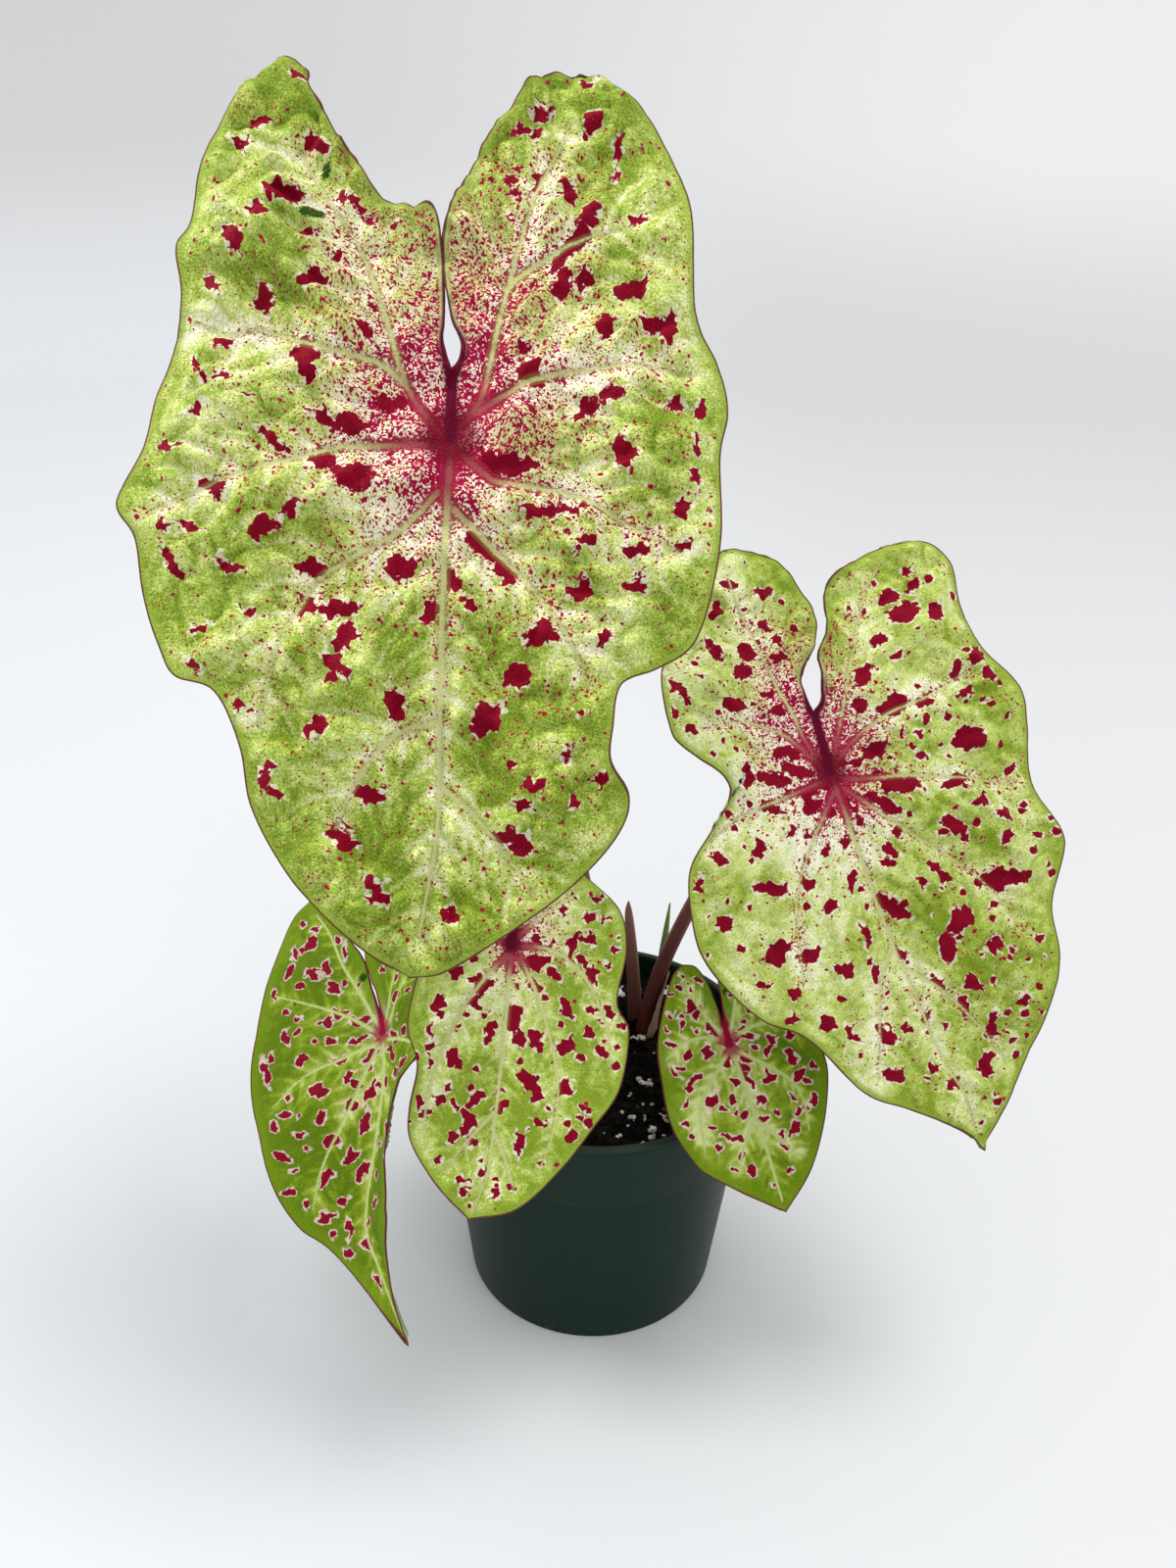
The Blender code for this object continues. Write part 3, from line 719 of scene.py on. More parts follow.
@dataclass(frozen=True)
class Grit:
    """A rough light stone, such as a grain of perlite, or a chip of bark."""

    name: str
    light: Colour
    dark: Colour
    scale: float
    rough: float = 0.85

    def material(self) -> bpy.types.Material:
        """Make the material from the place on the piece."""
        s = Surface(self.name)
        place = s.place()
        soot = s.grain(place, self.scale * 0.45, 3.0, 0.6)
        colour = s.blend(soot.ease(0.42, 0.72), self.light, self.dark)
        s.bump(s.pits(place, self.scale) * 0.7 + soot * 0.3, 0.0005, 0.9)
        return s.finish(colour, self.rough + soot * 0.1, 0.3)


@dataclass(frozen=True)
class SheathPaper:
    """Dry, papery sheath: beige-pink with lengthwise fibres."""

    light: Colour = display(206, 176, 146)
    dark: Colour = display(140, 98, 80)

    def material(self) -> bpy.types.Material:
        """Make the material from the sheath's own skin coordinates."""
        s = Surface("sheath_paper")
        turn, length, _ = s.parts(s.attribute("skin"))
        where = s.node("ShaderNodeCombineXYZ", None, {0: turn * 14.0, 1: length * 0.08})
        fibres = s.grain(where.outputs[0], 1.0, 4.0, 0.65)
        colour = s.blend(fibres.ease(0.35, 0.7), self.light, self.dark)
        s.bump(fibres, 0.0003, 0.9)
        return s.finish(colour, 0.62 + fibres * 0.15, 0.3)


@dataclass(frozen=True)
class TuberSkin:
    """Brown, scaly skin of the buried tuber, with rings of old leaf scars."""

    light: Colour = display(122, 88, 58)
    dark: Colour = display(58, 38, 26)

    def material(self) -> bpy.types.Material:
        """Make the material from the place on the tuber."""
        s = Surface("tuber_skin_rings")
        place = s.place()
        _, _, height = s.parts(place)
        rings = (height * 2400.0).math("SINE")
        skin = s.grain(place, 240.0, 4.0, 0.65)
        colour = s.blend((skin + rings * 0.14).clamped(), self.light, self.dark)
        s.bump(skin * 0.7 + rings * 0.2, 0.0006, 0.9)
        return s.finish(colour, 0.8 + skin * 0.15, 0.3)


@dataclass(frozen=True)
class FloorPaper:
    """Pale, matt studio paper with a hint of unevenness, and painted light and shade: the wall is
    darker on the left and lighter on the right, the floor near the plant lighter on the left and
    darker on the right.
    """

    # Painted light and shade: the floor near the plant is lighter on the left and darker on the
    # right; the wall is darker on the left and lighter on the right
    near_left_painted_light: Colour = display(244, 247, 250)
    near_right_painted_shade: Colour = display(228, 229, 230)
    left: Colour = display(224, 223, 223)
    right: Colour = display(253, 253, 253)

    def material(self) -> bpy.types.Material:
        """Make the material from the place on the floor."""
        s = Surface("floor_paper")
        place = s.place()
        across, _, height = s.parts(place)
        cloud = s.grain(place, 2.2, 2.0, 0.5)
        fine = s.grain(place, 500.0, 2.0, 0.5)
        # Painted shade on the left of the wall, painted light on its right
        wall = s.blend((across.ease(-0.9, 0.9) + cloud * 0.1).clamped(), self.left, self.right)
        s.bump(fine, 0.0001, 0.3)
        # Painted light on the floor's left, painted shade on its right
        near = s.blend(across.ease(-0.3, 0.3), self.near_left_painted_light, self.near_right_painted_shade)
        colour = s.blend(height.ease(0.0, 0.3), near, wall)
        return s.finish(colour, 0.75 + fine * 0.1, 0.2)


def new_object(bm: bmesh.types.BMesh, name: str, materials: Iterable[bpy.types.Material],
               sharp: float = 50.0) -> bpy.types.Object:
    """Turn a mesh in millimetres into an object in metres at the origin.

    Args:
        bm: The finished mesh, which is freed.
        name: The object's name.
        materials: Its materials, in the order of their slots.
        sharp: Edges bent more than this many degrees stay sharp.

    Returns:
        The new object.
    """
    bmesh.ops.scale(bm, vec=(MM, MM, MM), verts=bm.verts[:])
    mesh = bpy.data.meshes.new(name)
    bm.to_mesh(mesh)
    bm.free()
    for made in materials:
        mesh.materials.append(made)
    mesh.shade_smooth()
    mesh.set_sharp_from_angle(angle=math.radians(sharp))
    thing = bpy.data.objects.new(name, mesh)
    bpy.context.scene.collection.objects.link(thing)
    return thing


def fit(thing: bpy.types.Object, slot: str, *nodes: str) -> bpy.types.Object:
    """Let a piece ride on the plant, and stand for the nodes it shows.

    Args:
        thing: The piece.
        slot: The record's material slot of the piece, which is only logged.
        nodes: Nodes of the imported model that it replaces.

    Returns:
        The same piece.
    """
    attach(thing, BODY)
    if nodes:
        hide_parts(*nodes)
    faces = len(thing.data.polygons)
    LOG.info("%s: %d faces, slot %s, stands for %s", thing.name, faces, slot, nodes or "nothing")
    return thing


def set_vectors(mesh: bpy.types.Mesh, name: str, *columns: np.ndarray) -> None:
    """Write three columns of numbers to a mesh as a vector attribute."""
    made = mesh.attributes.new(name, "FLOAT_VECTOR", "POINT")
    made.data.foreach_set("vector", np.stack(columns, axis=1).astype(np.float32).ravel())


def grid_shares(verts: Iterable[bmesh.types.BMVert]) -> np.ndarray:
    """Give the place of each vertex on a flat grid, from 0 to 1 both ways."""
    places = np.array([vert.co[:2] for vert in verts])
    lowest, highest = places.min(axis=0), places.max(axis=0)
    return (places - lowest) / (highest - lowest)


def spun(profile: Sequence[Pair], sides: int) -> bmesh.types.BMesh:
    """Spin a section round the pot's axis.

    Args:
        profile: Radius and height of its points, in millimetres.
        sides: Steps of the full turn.

    Returns:
        The spun mesh, with its faces pointing out.
    """
    bm = bmesh.new()
    points = [bm.verts.new((radius, 0.0, height)) for radius, height in profile]
    edges = [bm.edges.new(pair) for pair in zip(points, points[1:])]
    bmesh.ops.spin(bm, geom=points + edges, cent=(0, 0, 0), axis=(0, 0, 1),
                   angle=2 * math.pi, steps=sides, use_merge=True)
    bmesh.ops.remove_doubles(bm, verts=bm.verts[:], dist=WELD)
    bmesh.ops.recalc_face_normals(bm, faces=bm.faces[:])
    return bm


def sweep(route: np.ndarray, radii: np.ndarray, sides: int) -> bmesh.types.BMesh:
    """Sweep a round section along a route, as a closed tube.

    A grid is rolled round the route ring by ring, and its vertices keep the
    turn and the length as an attribute named skin.

    Args:
        route: Points of the middle line in millimetres.
        radii: Radius at each point.
        sides: Number of sides.

    Returns:
        The tube's mesh.
    """
    rings = len(route)
    bm = bmesh.new()
    skin = bm.verts.layers.float_vector.new("skin")
    bmesh.ops.create_grid(bm, x_segments=sides, y_segments=rings - 1, size=0.5)
    reach = lengths(route)
    frames = []
    across = Vector((1.0, 0.0, 0.0))
    points = [Vector(point) for point in route]
    for ring in range(rings):
        ahead = (points[min(ring + 1, rings - 1)] - points[max(ring - 1, 0)]).normalized()
        across = (across - ahead * across.dot(ahead)).normalized()
        frames.append((points[ring], across.copy(), ahead.cross(across)))
    for vert, (share, climb) in zip(bm.verts, grid_shares(bm.verts).tolist()):
        ring = round(climb * (rings - 1))
        turn = 2.0 * math.pi * share
        middle, side, beside = frames[ring]
        vert[skin] = Vector((math.cos(turn), reach[ring], math.sin(turn)))
        vert.co = middle + (side * math.cos(turn) + beside * math.sin(turn)) * radii[ring]
    bmesh.ops.remove_doubles(bm, verts=bm.verts[:], dist=WELD / 2.0)
    bmesh.ops.holes_fill(bm, edges=[edge for edge in bm.edges if edge.is_boundary], sides=0)
    bmesh.ops.recalc_face_normals(bm, faces=bm.faces[:])
    return bm


Marks = tuple[tuple[float, ...], ...]


class Mark(NamedTuple):
    """A crimson blotch: its middle, its length and width, and its turn."""

    x: float
    y: float
    long: float
    wide: float
    turn: float = 0.0


@dataclass
class Blade:
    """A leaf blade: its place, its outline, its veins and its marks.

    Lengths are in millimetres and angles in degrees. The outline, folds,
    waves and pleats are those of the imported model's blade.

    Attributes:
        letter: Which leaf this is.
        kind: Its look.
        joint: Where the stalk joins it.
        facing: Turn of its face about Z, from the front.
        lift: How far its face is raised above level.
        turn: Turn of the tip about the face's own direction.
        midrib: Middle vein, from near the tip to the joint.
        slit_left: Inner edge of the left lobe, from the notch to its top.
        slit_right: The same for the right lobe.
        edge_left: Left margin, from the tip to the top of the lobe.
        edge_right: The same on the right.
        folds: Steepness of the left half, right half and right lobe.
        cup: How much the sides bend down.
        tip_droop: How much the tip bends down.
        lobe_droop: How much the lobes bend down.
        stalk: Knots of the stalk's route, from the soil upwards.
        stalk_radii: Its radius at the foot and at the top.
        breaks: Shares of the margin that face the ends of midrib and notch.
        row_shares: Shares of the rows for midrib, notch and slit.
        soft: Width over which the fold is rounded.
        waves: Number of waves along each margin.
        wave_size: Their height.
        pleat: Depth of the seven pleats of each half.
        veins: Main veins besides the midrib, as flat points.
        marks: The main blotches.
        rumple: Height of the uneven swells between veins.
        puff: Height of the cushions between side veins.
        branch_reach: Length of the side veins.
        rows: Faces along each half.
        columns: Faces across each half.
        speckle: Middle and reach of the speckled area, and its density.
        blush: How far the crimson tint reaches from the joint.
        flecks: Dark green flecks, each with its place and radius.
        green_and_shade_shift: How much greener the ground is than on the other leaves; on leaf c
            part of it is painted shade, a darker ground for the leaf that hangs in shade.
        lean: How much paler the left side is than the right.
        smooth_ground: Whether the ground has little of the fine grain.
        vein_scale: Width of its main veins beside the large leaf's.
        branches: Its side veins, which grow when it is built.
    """

    letter: str
    kind: LeafKind
    joint: Place
    facing: float
    lift: float
    turn: float
    midrib: tuple[Flat, ...]
    slit_left: tuple[Flat, ...]
    slit_right: tuple[Flat, ...]
    edge_left: tuple[Flat, ...]
    edge_right: tuple[Flat, ...]
    folds: Triple
    cup: float
    tip_droop: float
    lobe_droop: float
    stalk: tuple[Place, ...]
    stalk_radii: Pair
    breaks: Pair
    row_shares: Triple
    soft: float
    waves: float
    wave_size: float
    pleat: float
    veins: tuple[tuple[Flat, ...], ...]
    marks: Marks
    rumple: float
    puff: float
    branch_reach: float
    rows: int
    columns: int
    speckle: tuple[float, float, float, float, float]
    blush: float = 14.0
    flecks: tuple[Triple, ...] = ()
    green_and_shade_shift: float = 0.0
    lean: float = 0.0
    smooth_ground: bool = False
    vein_scale: float = 0.78
    branches: list[np.ndarray] = field(default_factory=list)

    def axes(self) -> tuple[Vector, Vector, Vector]:
        """Give the blade's across, along and outward directions."""
        facing, lift, turn = (math.radians(a) for a in (self.facing, self.lift, self.turn))
        out = Vector((math.sin(facing) * math.cos(lift),
                      -math.cos(facing) * math.cos(lift), math.sin(lift)))
        down = (Vector((0, 0, -1)) + out * out.z).normalized()
        tipward = down * math.cos(turn) + out.cross(down) * math.sin(turn)
        up = -tipward
        return up.cross(out), up, out

    def crease(self, y: np.ndarray) -> np.ndarray:
        """Across position of the midrib at distances along the blade."""
        (x0, y0), (x1, y1) = self.midrib[:2]
        beyond = (x0 + (x1 - x0) * (BELOW_TIP - y0) / (y1 - y0), BELOW_TIP)
        line = (beyond,) + self.midrib
        return np.interp(y, [p[1] for p in line], [p[0] for p in line])

    def rise(self, x: np.ndarray, y: np.ndarray) -> np.ndarray:
        """Height over the flat plane, from fold, cup and droop."""
        side = x - self.crease(y)
        bent = np.sqrt(side * side + self.soft ** 2) - self.soft
        left, right, right_lobe = self.folds
        lobe = np.clip((y - LOBE_START) / LOBE_BLEND, 0.0, 1.0)
        fold = np.where(side < 0, left, right + (right_lobe - right) * lobe)
        droop = np.where(y < 0, self.tip_droop, self.lobe_droop)
        return fold * bent - self.cup * side * side - droop * y * y

    def ripple(self, x: np.ndarray, y: np.ndarray, u: np.ndarray, v: np.ndarray) -> np.ndarray:
        """Waves of the margin and pleats of each half."""
        swell = self.wave_size * u ** 3 * np.sin(2 * math.pi * self.waves * v)
        lapse = np.minimum(1.0, np.hypot(x, y) / STILL_RADIUS)
        ends = np.clip(np.minimum(8.0 * v, 8.0 * (1.0 - v)), 0.0, 1.0)
        pleats = self.pleat * ends * 4 * u * (1 - u) * np.cos(2 * math.pi * PLEATS * v)
        return (swell - pleats) * lapse

    def main_veins(self) -> list[np.ndarray]:
        """Smooth lines of the midrib and the other main veins."""
        tip = self.edge_left[0]
        middle = [(0.0, 0.0)] + [p for p in reversed(self.midrib[:-1])]
        middle.append((0.4 * middle[-1][0] + 0.6 * tip[0], 0.4 * middle[-1][1] + 0.6 * tip[1]))
        return [smooth_curve(middle, 4)] + [smooth_curve(line, 4) for line in self.veins]

    def grow_branches(self) -> None:
        """Add side veins at even steps along both sides of each main vein."""
        dice = random.Random(SEED + ord(self.letter))
        step = self.branch_reach * 0.42
        for line in self.main_veins():
            total = float(spans(line).sum())
            for side in (-1.0, 1.0):
                at = step * dice.uniform(0.8, 1.4)
                while at < total - 2.0:
                    share = at / total
                    start, ahead = along(line, np.array([share, min(1.0, share + 0.03)]))
                    heading = math.atan2(ahead[1] - start[1], ahead[0] - start[0])
                    reach = self.branch_reach * dice.uniform(0.75, 1.2) * (1.15 - 0.5 * share)
                    points = [start]
                    for bend in BRANCH_BENDS:
                        turn = heading + side * math.radians(bend + dice.uniform(-5.0, 5.0))
                        forward = np.array([math.cos(turn), math.sin(turn)])
                        points.append(points[-1] + forward * reach / len(BRANCH_BENDS))
                    self.branches.append(np.array(points))
                    at += step * dice.uniform(0.85, 1.15)

    def vein_fields(self, x: np.ndarray, y: np.ndarray) -> tuple[np.ndarray, ...]:
        """Measure the way to the veins.

        Args:
            x: Across positions.
            y: Along positions.

        Returns:
            Distance to the nearest main vein in half widths, the same in
            millimetres, and distance to the nearest side vein.
        """
        ratio = np.full(x.shape, FAR)
        main = np.full(x.shape, FAR)
        for order, line in enumerate(self.main_veins()):
            gap, share = line_distance(x, y, line)
            foot = 1.15 if order == 0 else 0.95
            half = foot * (1.0 - 0.55 * share) * self.vein_scale
            ratio = np.minimum(ratio, gap / half)
            main = np.minimum(main, gap)
        side = np.full(x.shape, FAR)
        for line in self.branches:
            near = (np.abs(x - line[:, 0].mean()) < 2 * self.branch_reach) \
                & (np.abs(y - line[:, 1].mean()) < 2 * self.branch_reach)
            if near.any():
                gap, share = line_distance(x[near], y[near], line)
                side[near] = np.minimum(side[near], gap + 0.5 * share)
        return ratio, main, side

    def mark_field(self, x: np.ndarray, y: np.ndarray) -> np.ndarray:
        """Signed distance to the nearest blotch, negative inside it."""
        shifted_x = x + 1.1 * wander(x, y, 3.4, 3.1) + 0.5 * wander(x, y, 1.5, 8.1)
        shifted_y = y + 1.1 * wander(x, y, 3.4, 5.7) + 0.5 * wander(x, y, 1.5, 9.3)
        best = np.full(x.shape, MARK_REACH)
        for mark in (Mark(*numbers) for numbers in self.marks):
            near = np.hypot(x - mark.x, y - mark.y) < mark.long + 5.0
            if not near.any():
                continue
            cos, sin = math.cos(math.radians(mark.turn)), math.sin(math.radians(mark.turn))
            dx, dy = shifted_x[near] - mark.x, shifted_y[near] - mark.y
            half_long, half_wide = 0.58 * mark.long, 0.58 * mark.wide + 0.12
            p = (dx * cos + dy * sin) / half_long
            q = (dy * cos - dx * sin) / half_wide
            gap = (np.hypot(p, q) - 1.0) * min(half_long, half_wide)
            best[near] = np.minimum(best[near], gap)
        return best

    def relief(self, x: np.ndarray, y: np.ndarray, u: np.ndarray, main: np.ndarray,
               side: np.ndarray) -> np.ndarray:
        """Cushions between the veins and uneven swells."""
        cushion = (1.0 - np.exp(-(side / 2.2) ** 2)) * (1.0 - np.exp(-(main / 3.5) ** 2))
        sunk = np.exp(-(main / 1.6) ** 2)
        swell = (wander(x, y, 15.0, 1.5) + 1.3 * np.abs(wander(x, y, 8.5, 2.5)) - 0.5
                 + 0.5 * np.abs(wander(x, y, 4.5, 7.5)))
        calm = np.clip(np.hypot(x, y) / 16.0, 0.0, 1.0) * (1.0 - 0.85 * smooth(0.8, 1.0, u))
        return calm * (self.puff * cushion + self.rumple * swell * (0.35 + 0.65 * cushion)
                       - 0.35 * sunk)

    def half(self, bm: bmesh.types.BMesh, side: int) -> None:
        """Add one half of the blade, bent from a grid.

        Args:
            bm: The mesh that gets it.
            side: -1 for the left half, 1 for the right.
        """
        flat_layer = bm.verts.layers.float_vector["flat"]
        grid_layer = bm.verts.layers.float_vector["grid"]
        made = bmesh.ops.create_grid(bm, x_segments=self.columns, y_segments=self.rows, size=1.0)
        verts = made["verts"]
        u, v = grid_shares(verts).T
        u = u ** 0.9
        slit = self.slit_left if side < 0 else self.slit_right
        edge = self.edge_left if side < 0 else self.edge_right
        rim = smooth_curve(edge)
        lines = (smooth_curve((edge[0],) + self.midrib), smooth_curve(((0.0, 0.0), slit[0])),
                 smooth_curve(slit))
        ends = np.cumsum(self.row_shares) / sum(self.row_shares)
        starts = np.concatenate([[0.0], ends[:-1]])
        rim_starts = (0.0,) + self.breaks
        rim_ends = self.breaks + (1.0,)
        inner = np.zeros((len(v), 2))
        outer = np.zeros((len(v), 2))
        for line, low, high, rim_low, rim_high in zip(lines, starts, ends, rim_starts, rim_ends):
            inside = (v >= low - TINY) & (v <= high + TINY)
            share = np.clip((v[inside] - low) / (high - low), 0.0, 1.0)
            inner[inside] = along(line, share)
            outer[inside] = along(rim, rim_low + (rim_high - rim_low) * share)
        flat = inner + (outer - inner) * u[:, None]
        for vert, (x, y), a, b in zip(verts, flat, u, v):
            vert[flat_layer] = Vector((x, y, 0.0))
            vert[grid_layer] = Vector((a, b, side))
            vert.co = (x, y, 0.0)
        if side < 0:
            bmesh.ops.reverse_faces(bm, faces=list({f for w in verts for f in w.link_faces}))

    def bend(self, bm: bmesh.types.BMesh) -> np.ndarray:
        """Bend the flat blade into place and turn its faces outwards.

        Args:
            bm: The flat blade.

        Returns:
            The blade's thickness at each vertex, more at ribs and stalk.
        """
        layers = bm.verts.layers.float_vector
        x, y, _ = np.array([vert[layers["flat"]][:] for vert in bm.verts]).T
        u, v, _ = np.array([vert[layers["grid"]][:] for vert in bm.verts]).T
        ratio, main, side = self.vein_fields(x, y)
        height = self.rise(x, y) + self.ripple(x, y, u, v) + self.relief(x, y, u, main, side)
        across, up, out = (np.array(axis) for axis in self.axes())
        spots = np.array(self.joint) + x[:, None] * across + y[:, None] * up + height[:, None] * out
        for vert, spot in zip(bm.verts, spots):
            vert.co = spot
        bm.normal_update()
        facing = sum((face.normal for face in bm.faces), Vector()).dot(Vector(out))
        if facing < 0.0:
            bmesh.ops.reverse_faces(bm, faces=bm.faces[:])
            bm.normal_update()
        raised = (RIB_DEPTH * np.exp(-(ratio / 1.3) ** 2)
                  + CALLUS_DEPTH * np.exp(-(np.hypot(x, y) / CALLUS_RADIUS) ** 2))
        return BLADE_THICKNESS + raised * (1.0 - smooth(0.9, 1.0, u))

    @staticmethod
    def thicken(bm: bmesh.types.BMesh, depth: np.ndarray) -> None:
        """Grow the underside out of the bent sheet, with the second material.

        Args:
            bm: The upper side.
            depth: The blade's thickness at each of its vertices.
        """
        normals = np.array([vert.normal[:] for vert in bm.verts])
        number = bm.verts.layers.int.new("number")
        for place, vert in enumerate(bm.verts):
            vert[number] = place
        grown = bmesh.ops.extrude_face_region(bm, geom=bm.faces[:], use_keep_orig=True)
        under = {item for item in grown["geom"] if isinstance(item, bmesh.types.BMVert)}
        for vert in under:
            vert.co -= Vector(normals[vert[number]]) * depth[vert[number]]
        for face in bm.faces:
            if all(vert in under for vert in face.verts):
                face.material_index = 1
        bmesh.ops.recalc_face_normals(bm, faces=bm.faces[:])

    def build(self, finishes: tuple[bpy.types.Material, bpy.types.Material]) -> bpy.types.Object:
        """Make the blade with its veins, marks and tones as attributes.

        Args:
            finishes: Materials of the upper side and the underside.

        Returns:
            The blade's object.
        """
        self.grow_branches()
        bm = bmesh.new()
        for layer in ("flat", "grid"):
            bm.verts.layers.float_vector.new(layer)
        for side in (-1, 1):
            self.half(bm, side)
        bmesh.ops.remove_doubles(bm, verts=bm.verts[:], dist=SEAM_WELD)
        bm.verts.ensure_lookup_table()
        self.thicken(bm, self.bend(bm))
        thing = new_object(bm, "leaf_" + self.letter, finishes, 180.0)
        self.dress(thing.data)
        return thing

    def dress(self, mesh: bpy.types.Mesh) -> None:
        """Write the attributes that the finishes read."""
        raw = np.zeros(len(mesh.vertices) * 3, dtype=np.float32)
        mesh.attributes["flat"].data.foreach_get("vector", raw)
        x, y, _ = raw.astype(float).reshape(-1, 3).T
        ratio, main, side = self.vein_fields(x, y)
        set_vectors(mesh, "veins", ratio, side, np.exp(-np.hypot(x, y) / self.blush))
        mark = self.mark_field(x, y)
        set_vectors(mesh, "marks", (self.mark_field(x + SLOPE_STEP, y) - mark) / SLOPE_STEP,
                    (self.mark_field(x, y + SLOPE_STEP) - mark) / SLOPE_STEP, mark)
        set_vectors(mesh, "tones", *self.tones(x, y, main))
        set_vectors(mesh, "edges", *self.edge_fields(x, y))

    def tones(self, x: np.ndarray, y: np.ndarray, main: np.ndarray) -> tuple[np.ndarray, ...]:
        """Set how dotted, how green and how rosy the leaf is at each place, with painted shade
        along the relief's creases.

        Args:
            x: Across positions.
            y: Along positions.
            main: Distance to the nearest main vein.

        Returns:
            Density of the dots, depth of the green with painted shade along the relief's creases,
            and the rosy wash.
        """
        from_joint = np.hypot(x, y)
        middle_x, middle_y, wide, long, strength = self.speckle
        spread = np.hypot((x - middle_x) / wide, (y - middle_y) / long)
        core = np.exp(-(from_joint / (0.75 * self.blush)) ** 2)
        by_vein = np.exp(-(main / 2.2) ** 2) * np.exp(-from_joint / (2.9 * self.blush))
        cloud = np.clip(0.82 + 0.4 * wander(x, y, 9.0, 6.5), 0.3, 1.4)
        dots = strength * cloud * (0.66 * np.exp(-spread ** 2) + 0.55 * by_vein + 0.55 * core
                                   + 0.11)
        band, glow, clear = PALLOR[self.kind]
        # Painted shade: the ground turns deeper green along the sharp valleys that the same noise
        # folds into the relief
        crease = np.exp(-(wander(x, y, 8.5, 2.5) / 0.16) ** 2)
        ground = (0.57 + self.green_and_shade_shift + 0.25 * wander(x, y, 17.0, 4.5) + 0.22 * crease
                  - glow * np.exp(-(main / band) ** 2) - clear * np.exp(-spread ** 2)
                  - 0.0022 * np.minimum(y, 0.0) + 0.0020 * np.maximum(y - 15.0, 0.0)
                  + self.lean * np.tanh(x / 15.0))
        wash = (np.exp(-(from_joint / (0.42 * self.blush)) ** 2)
                + 0.38 * np.exp(-(spread * 1.2) ** 2))
        return dots, ground, np.clip(wash, 0.0, 1.0)

    def edge_fields(self, x: np.ndarray, y: np.ndarray) -> tuple[np.ndarray, ...]:
        """Measure the way to the margin, the notch and the flecks.

        Args:
            x: Across positions.
            y: Along positions.

        Returns:
            Distance to the margin, to the dark lining of the notch, and to
            the nearest fleck, less than nothing inside it.
        """
        edge = np.full(x.shape, FAR)
        for line in (self.edge_left, self.edge_right, self.slit_left, self.slit_right):
            edge = np.minimum(edge, line_distance(x, y, smooth_curve(line))[0])
        throat, _ = line_distance(x, y, np.array([(0.0, 0.0), self.slit_left[0]]))
        sinus = throat * 1.6
        for line in (self.slit_left, self.slit_right):
            gap, share = line_distance(x, y, smooth_curve(line[:4]))
            sinus = np.minimum(sinus, gap * (1.0 + 2.2 * share) + 3.2 * share)
        fleck = np.full(x.shape, FAR)
        for middle_x, middle_y, radius in self.flecks:
            fleck = np.minimum(fleck, np.hypot(x - middle_x, y - middle_y) - radius)
        return edge, sinus * NOTCH_GAIN[self.kind], fleck

    def stalk_mesh(self) -> bpy.types.Object:
        """Sweep the stalk from the soil to just under the blade."""
        out = np.array(self.axes()[2])
        joint = np.array(self.joint)
        ends = [joint - out * 11.0 - np.array((0.0, 0.0, 4.0)), joint - out * 4.5,
                joint - out * 1.05]
        route = smooth_curve([np.array(p) for p in self.stalk] + ends, 8)
        foot, top = self.stalk_radii
        share = np.linspace(0.0, 1.0, len(route))
        flare = 0.5 * np.exp(-((1.0 - share) / 0.02) ** 2)
        radii = foot + (top - foot) * share + flare
        name = "stalk_" + self.letter
        return new_object(sweep(route, radii, 24), name, [STALK.material()], 60.0)


STALK = StalkSkin("stalk_skin", display(82, 22, 26), display(138, 78, 70),
                  display(150, 104, 90), 80.0, 160.0)

FLECKS_A = ((-36.5, 69.3, 1.5), (-36.6, 67.2, 1.4), (-39.5, 55.0, 2.0), (-37.0, 54.6, 1.9))
FLECKS_B = ((9.5, 22.5, 0.8), (35.0, -18.3, 0.7))
FLECKS_C = ((-6.0, 20.8, 1.5), (-29.3, 19.0, 0.6))
FLECKS_E = ((4.3, 15.0, 1.1),)

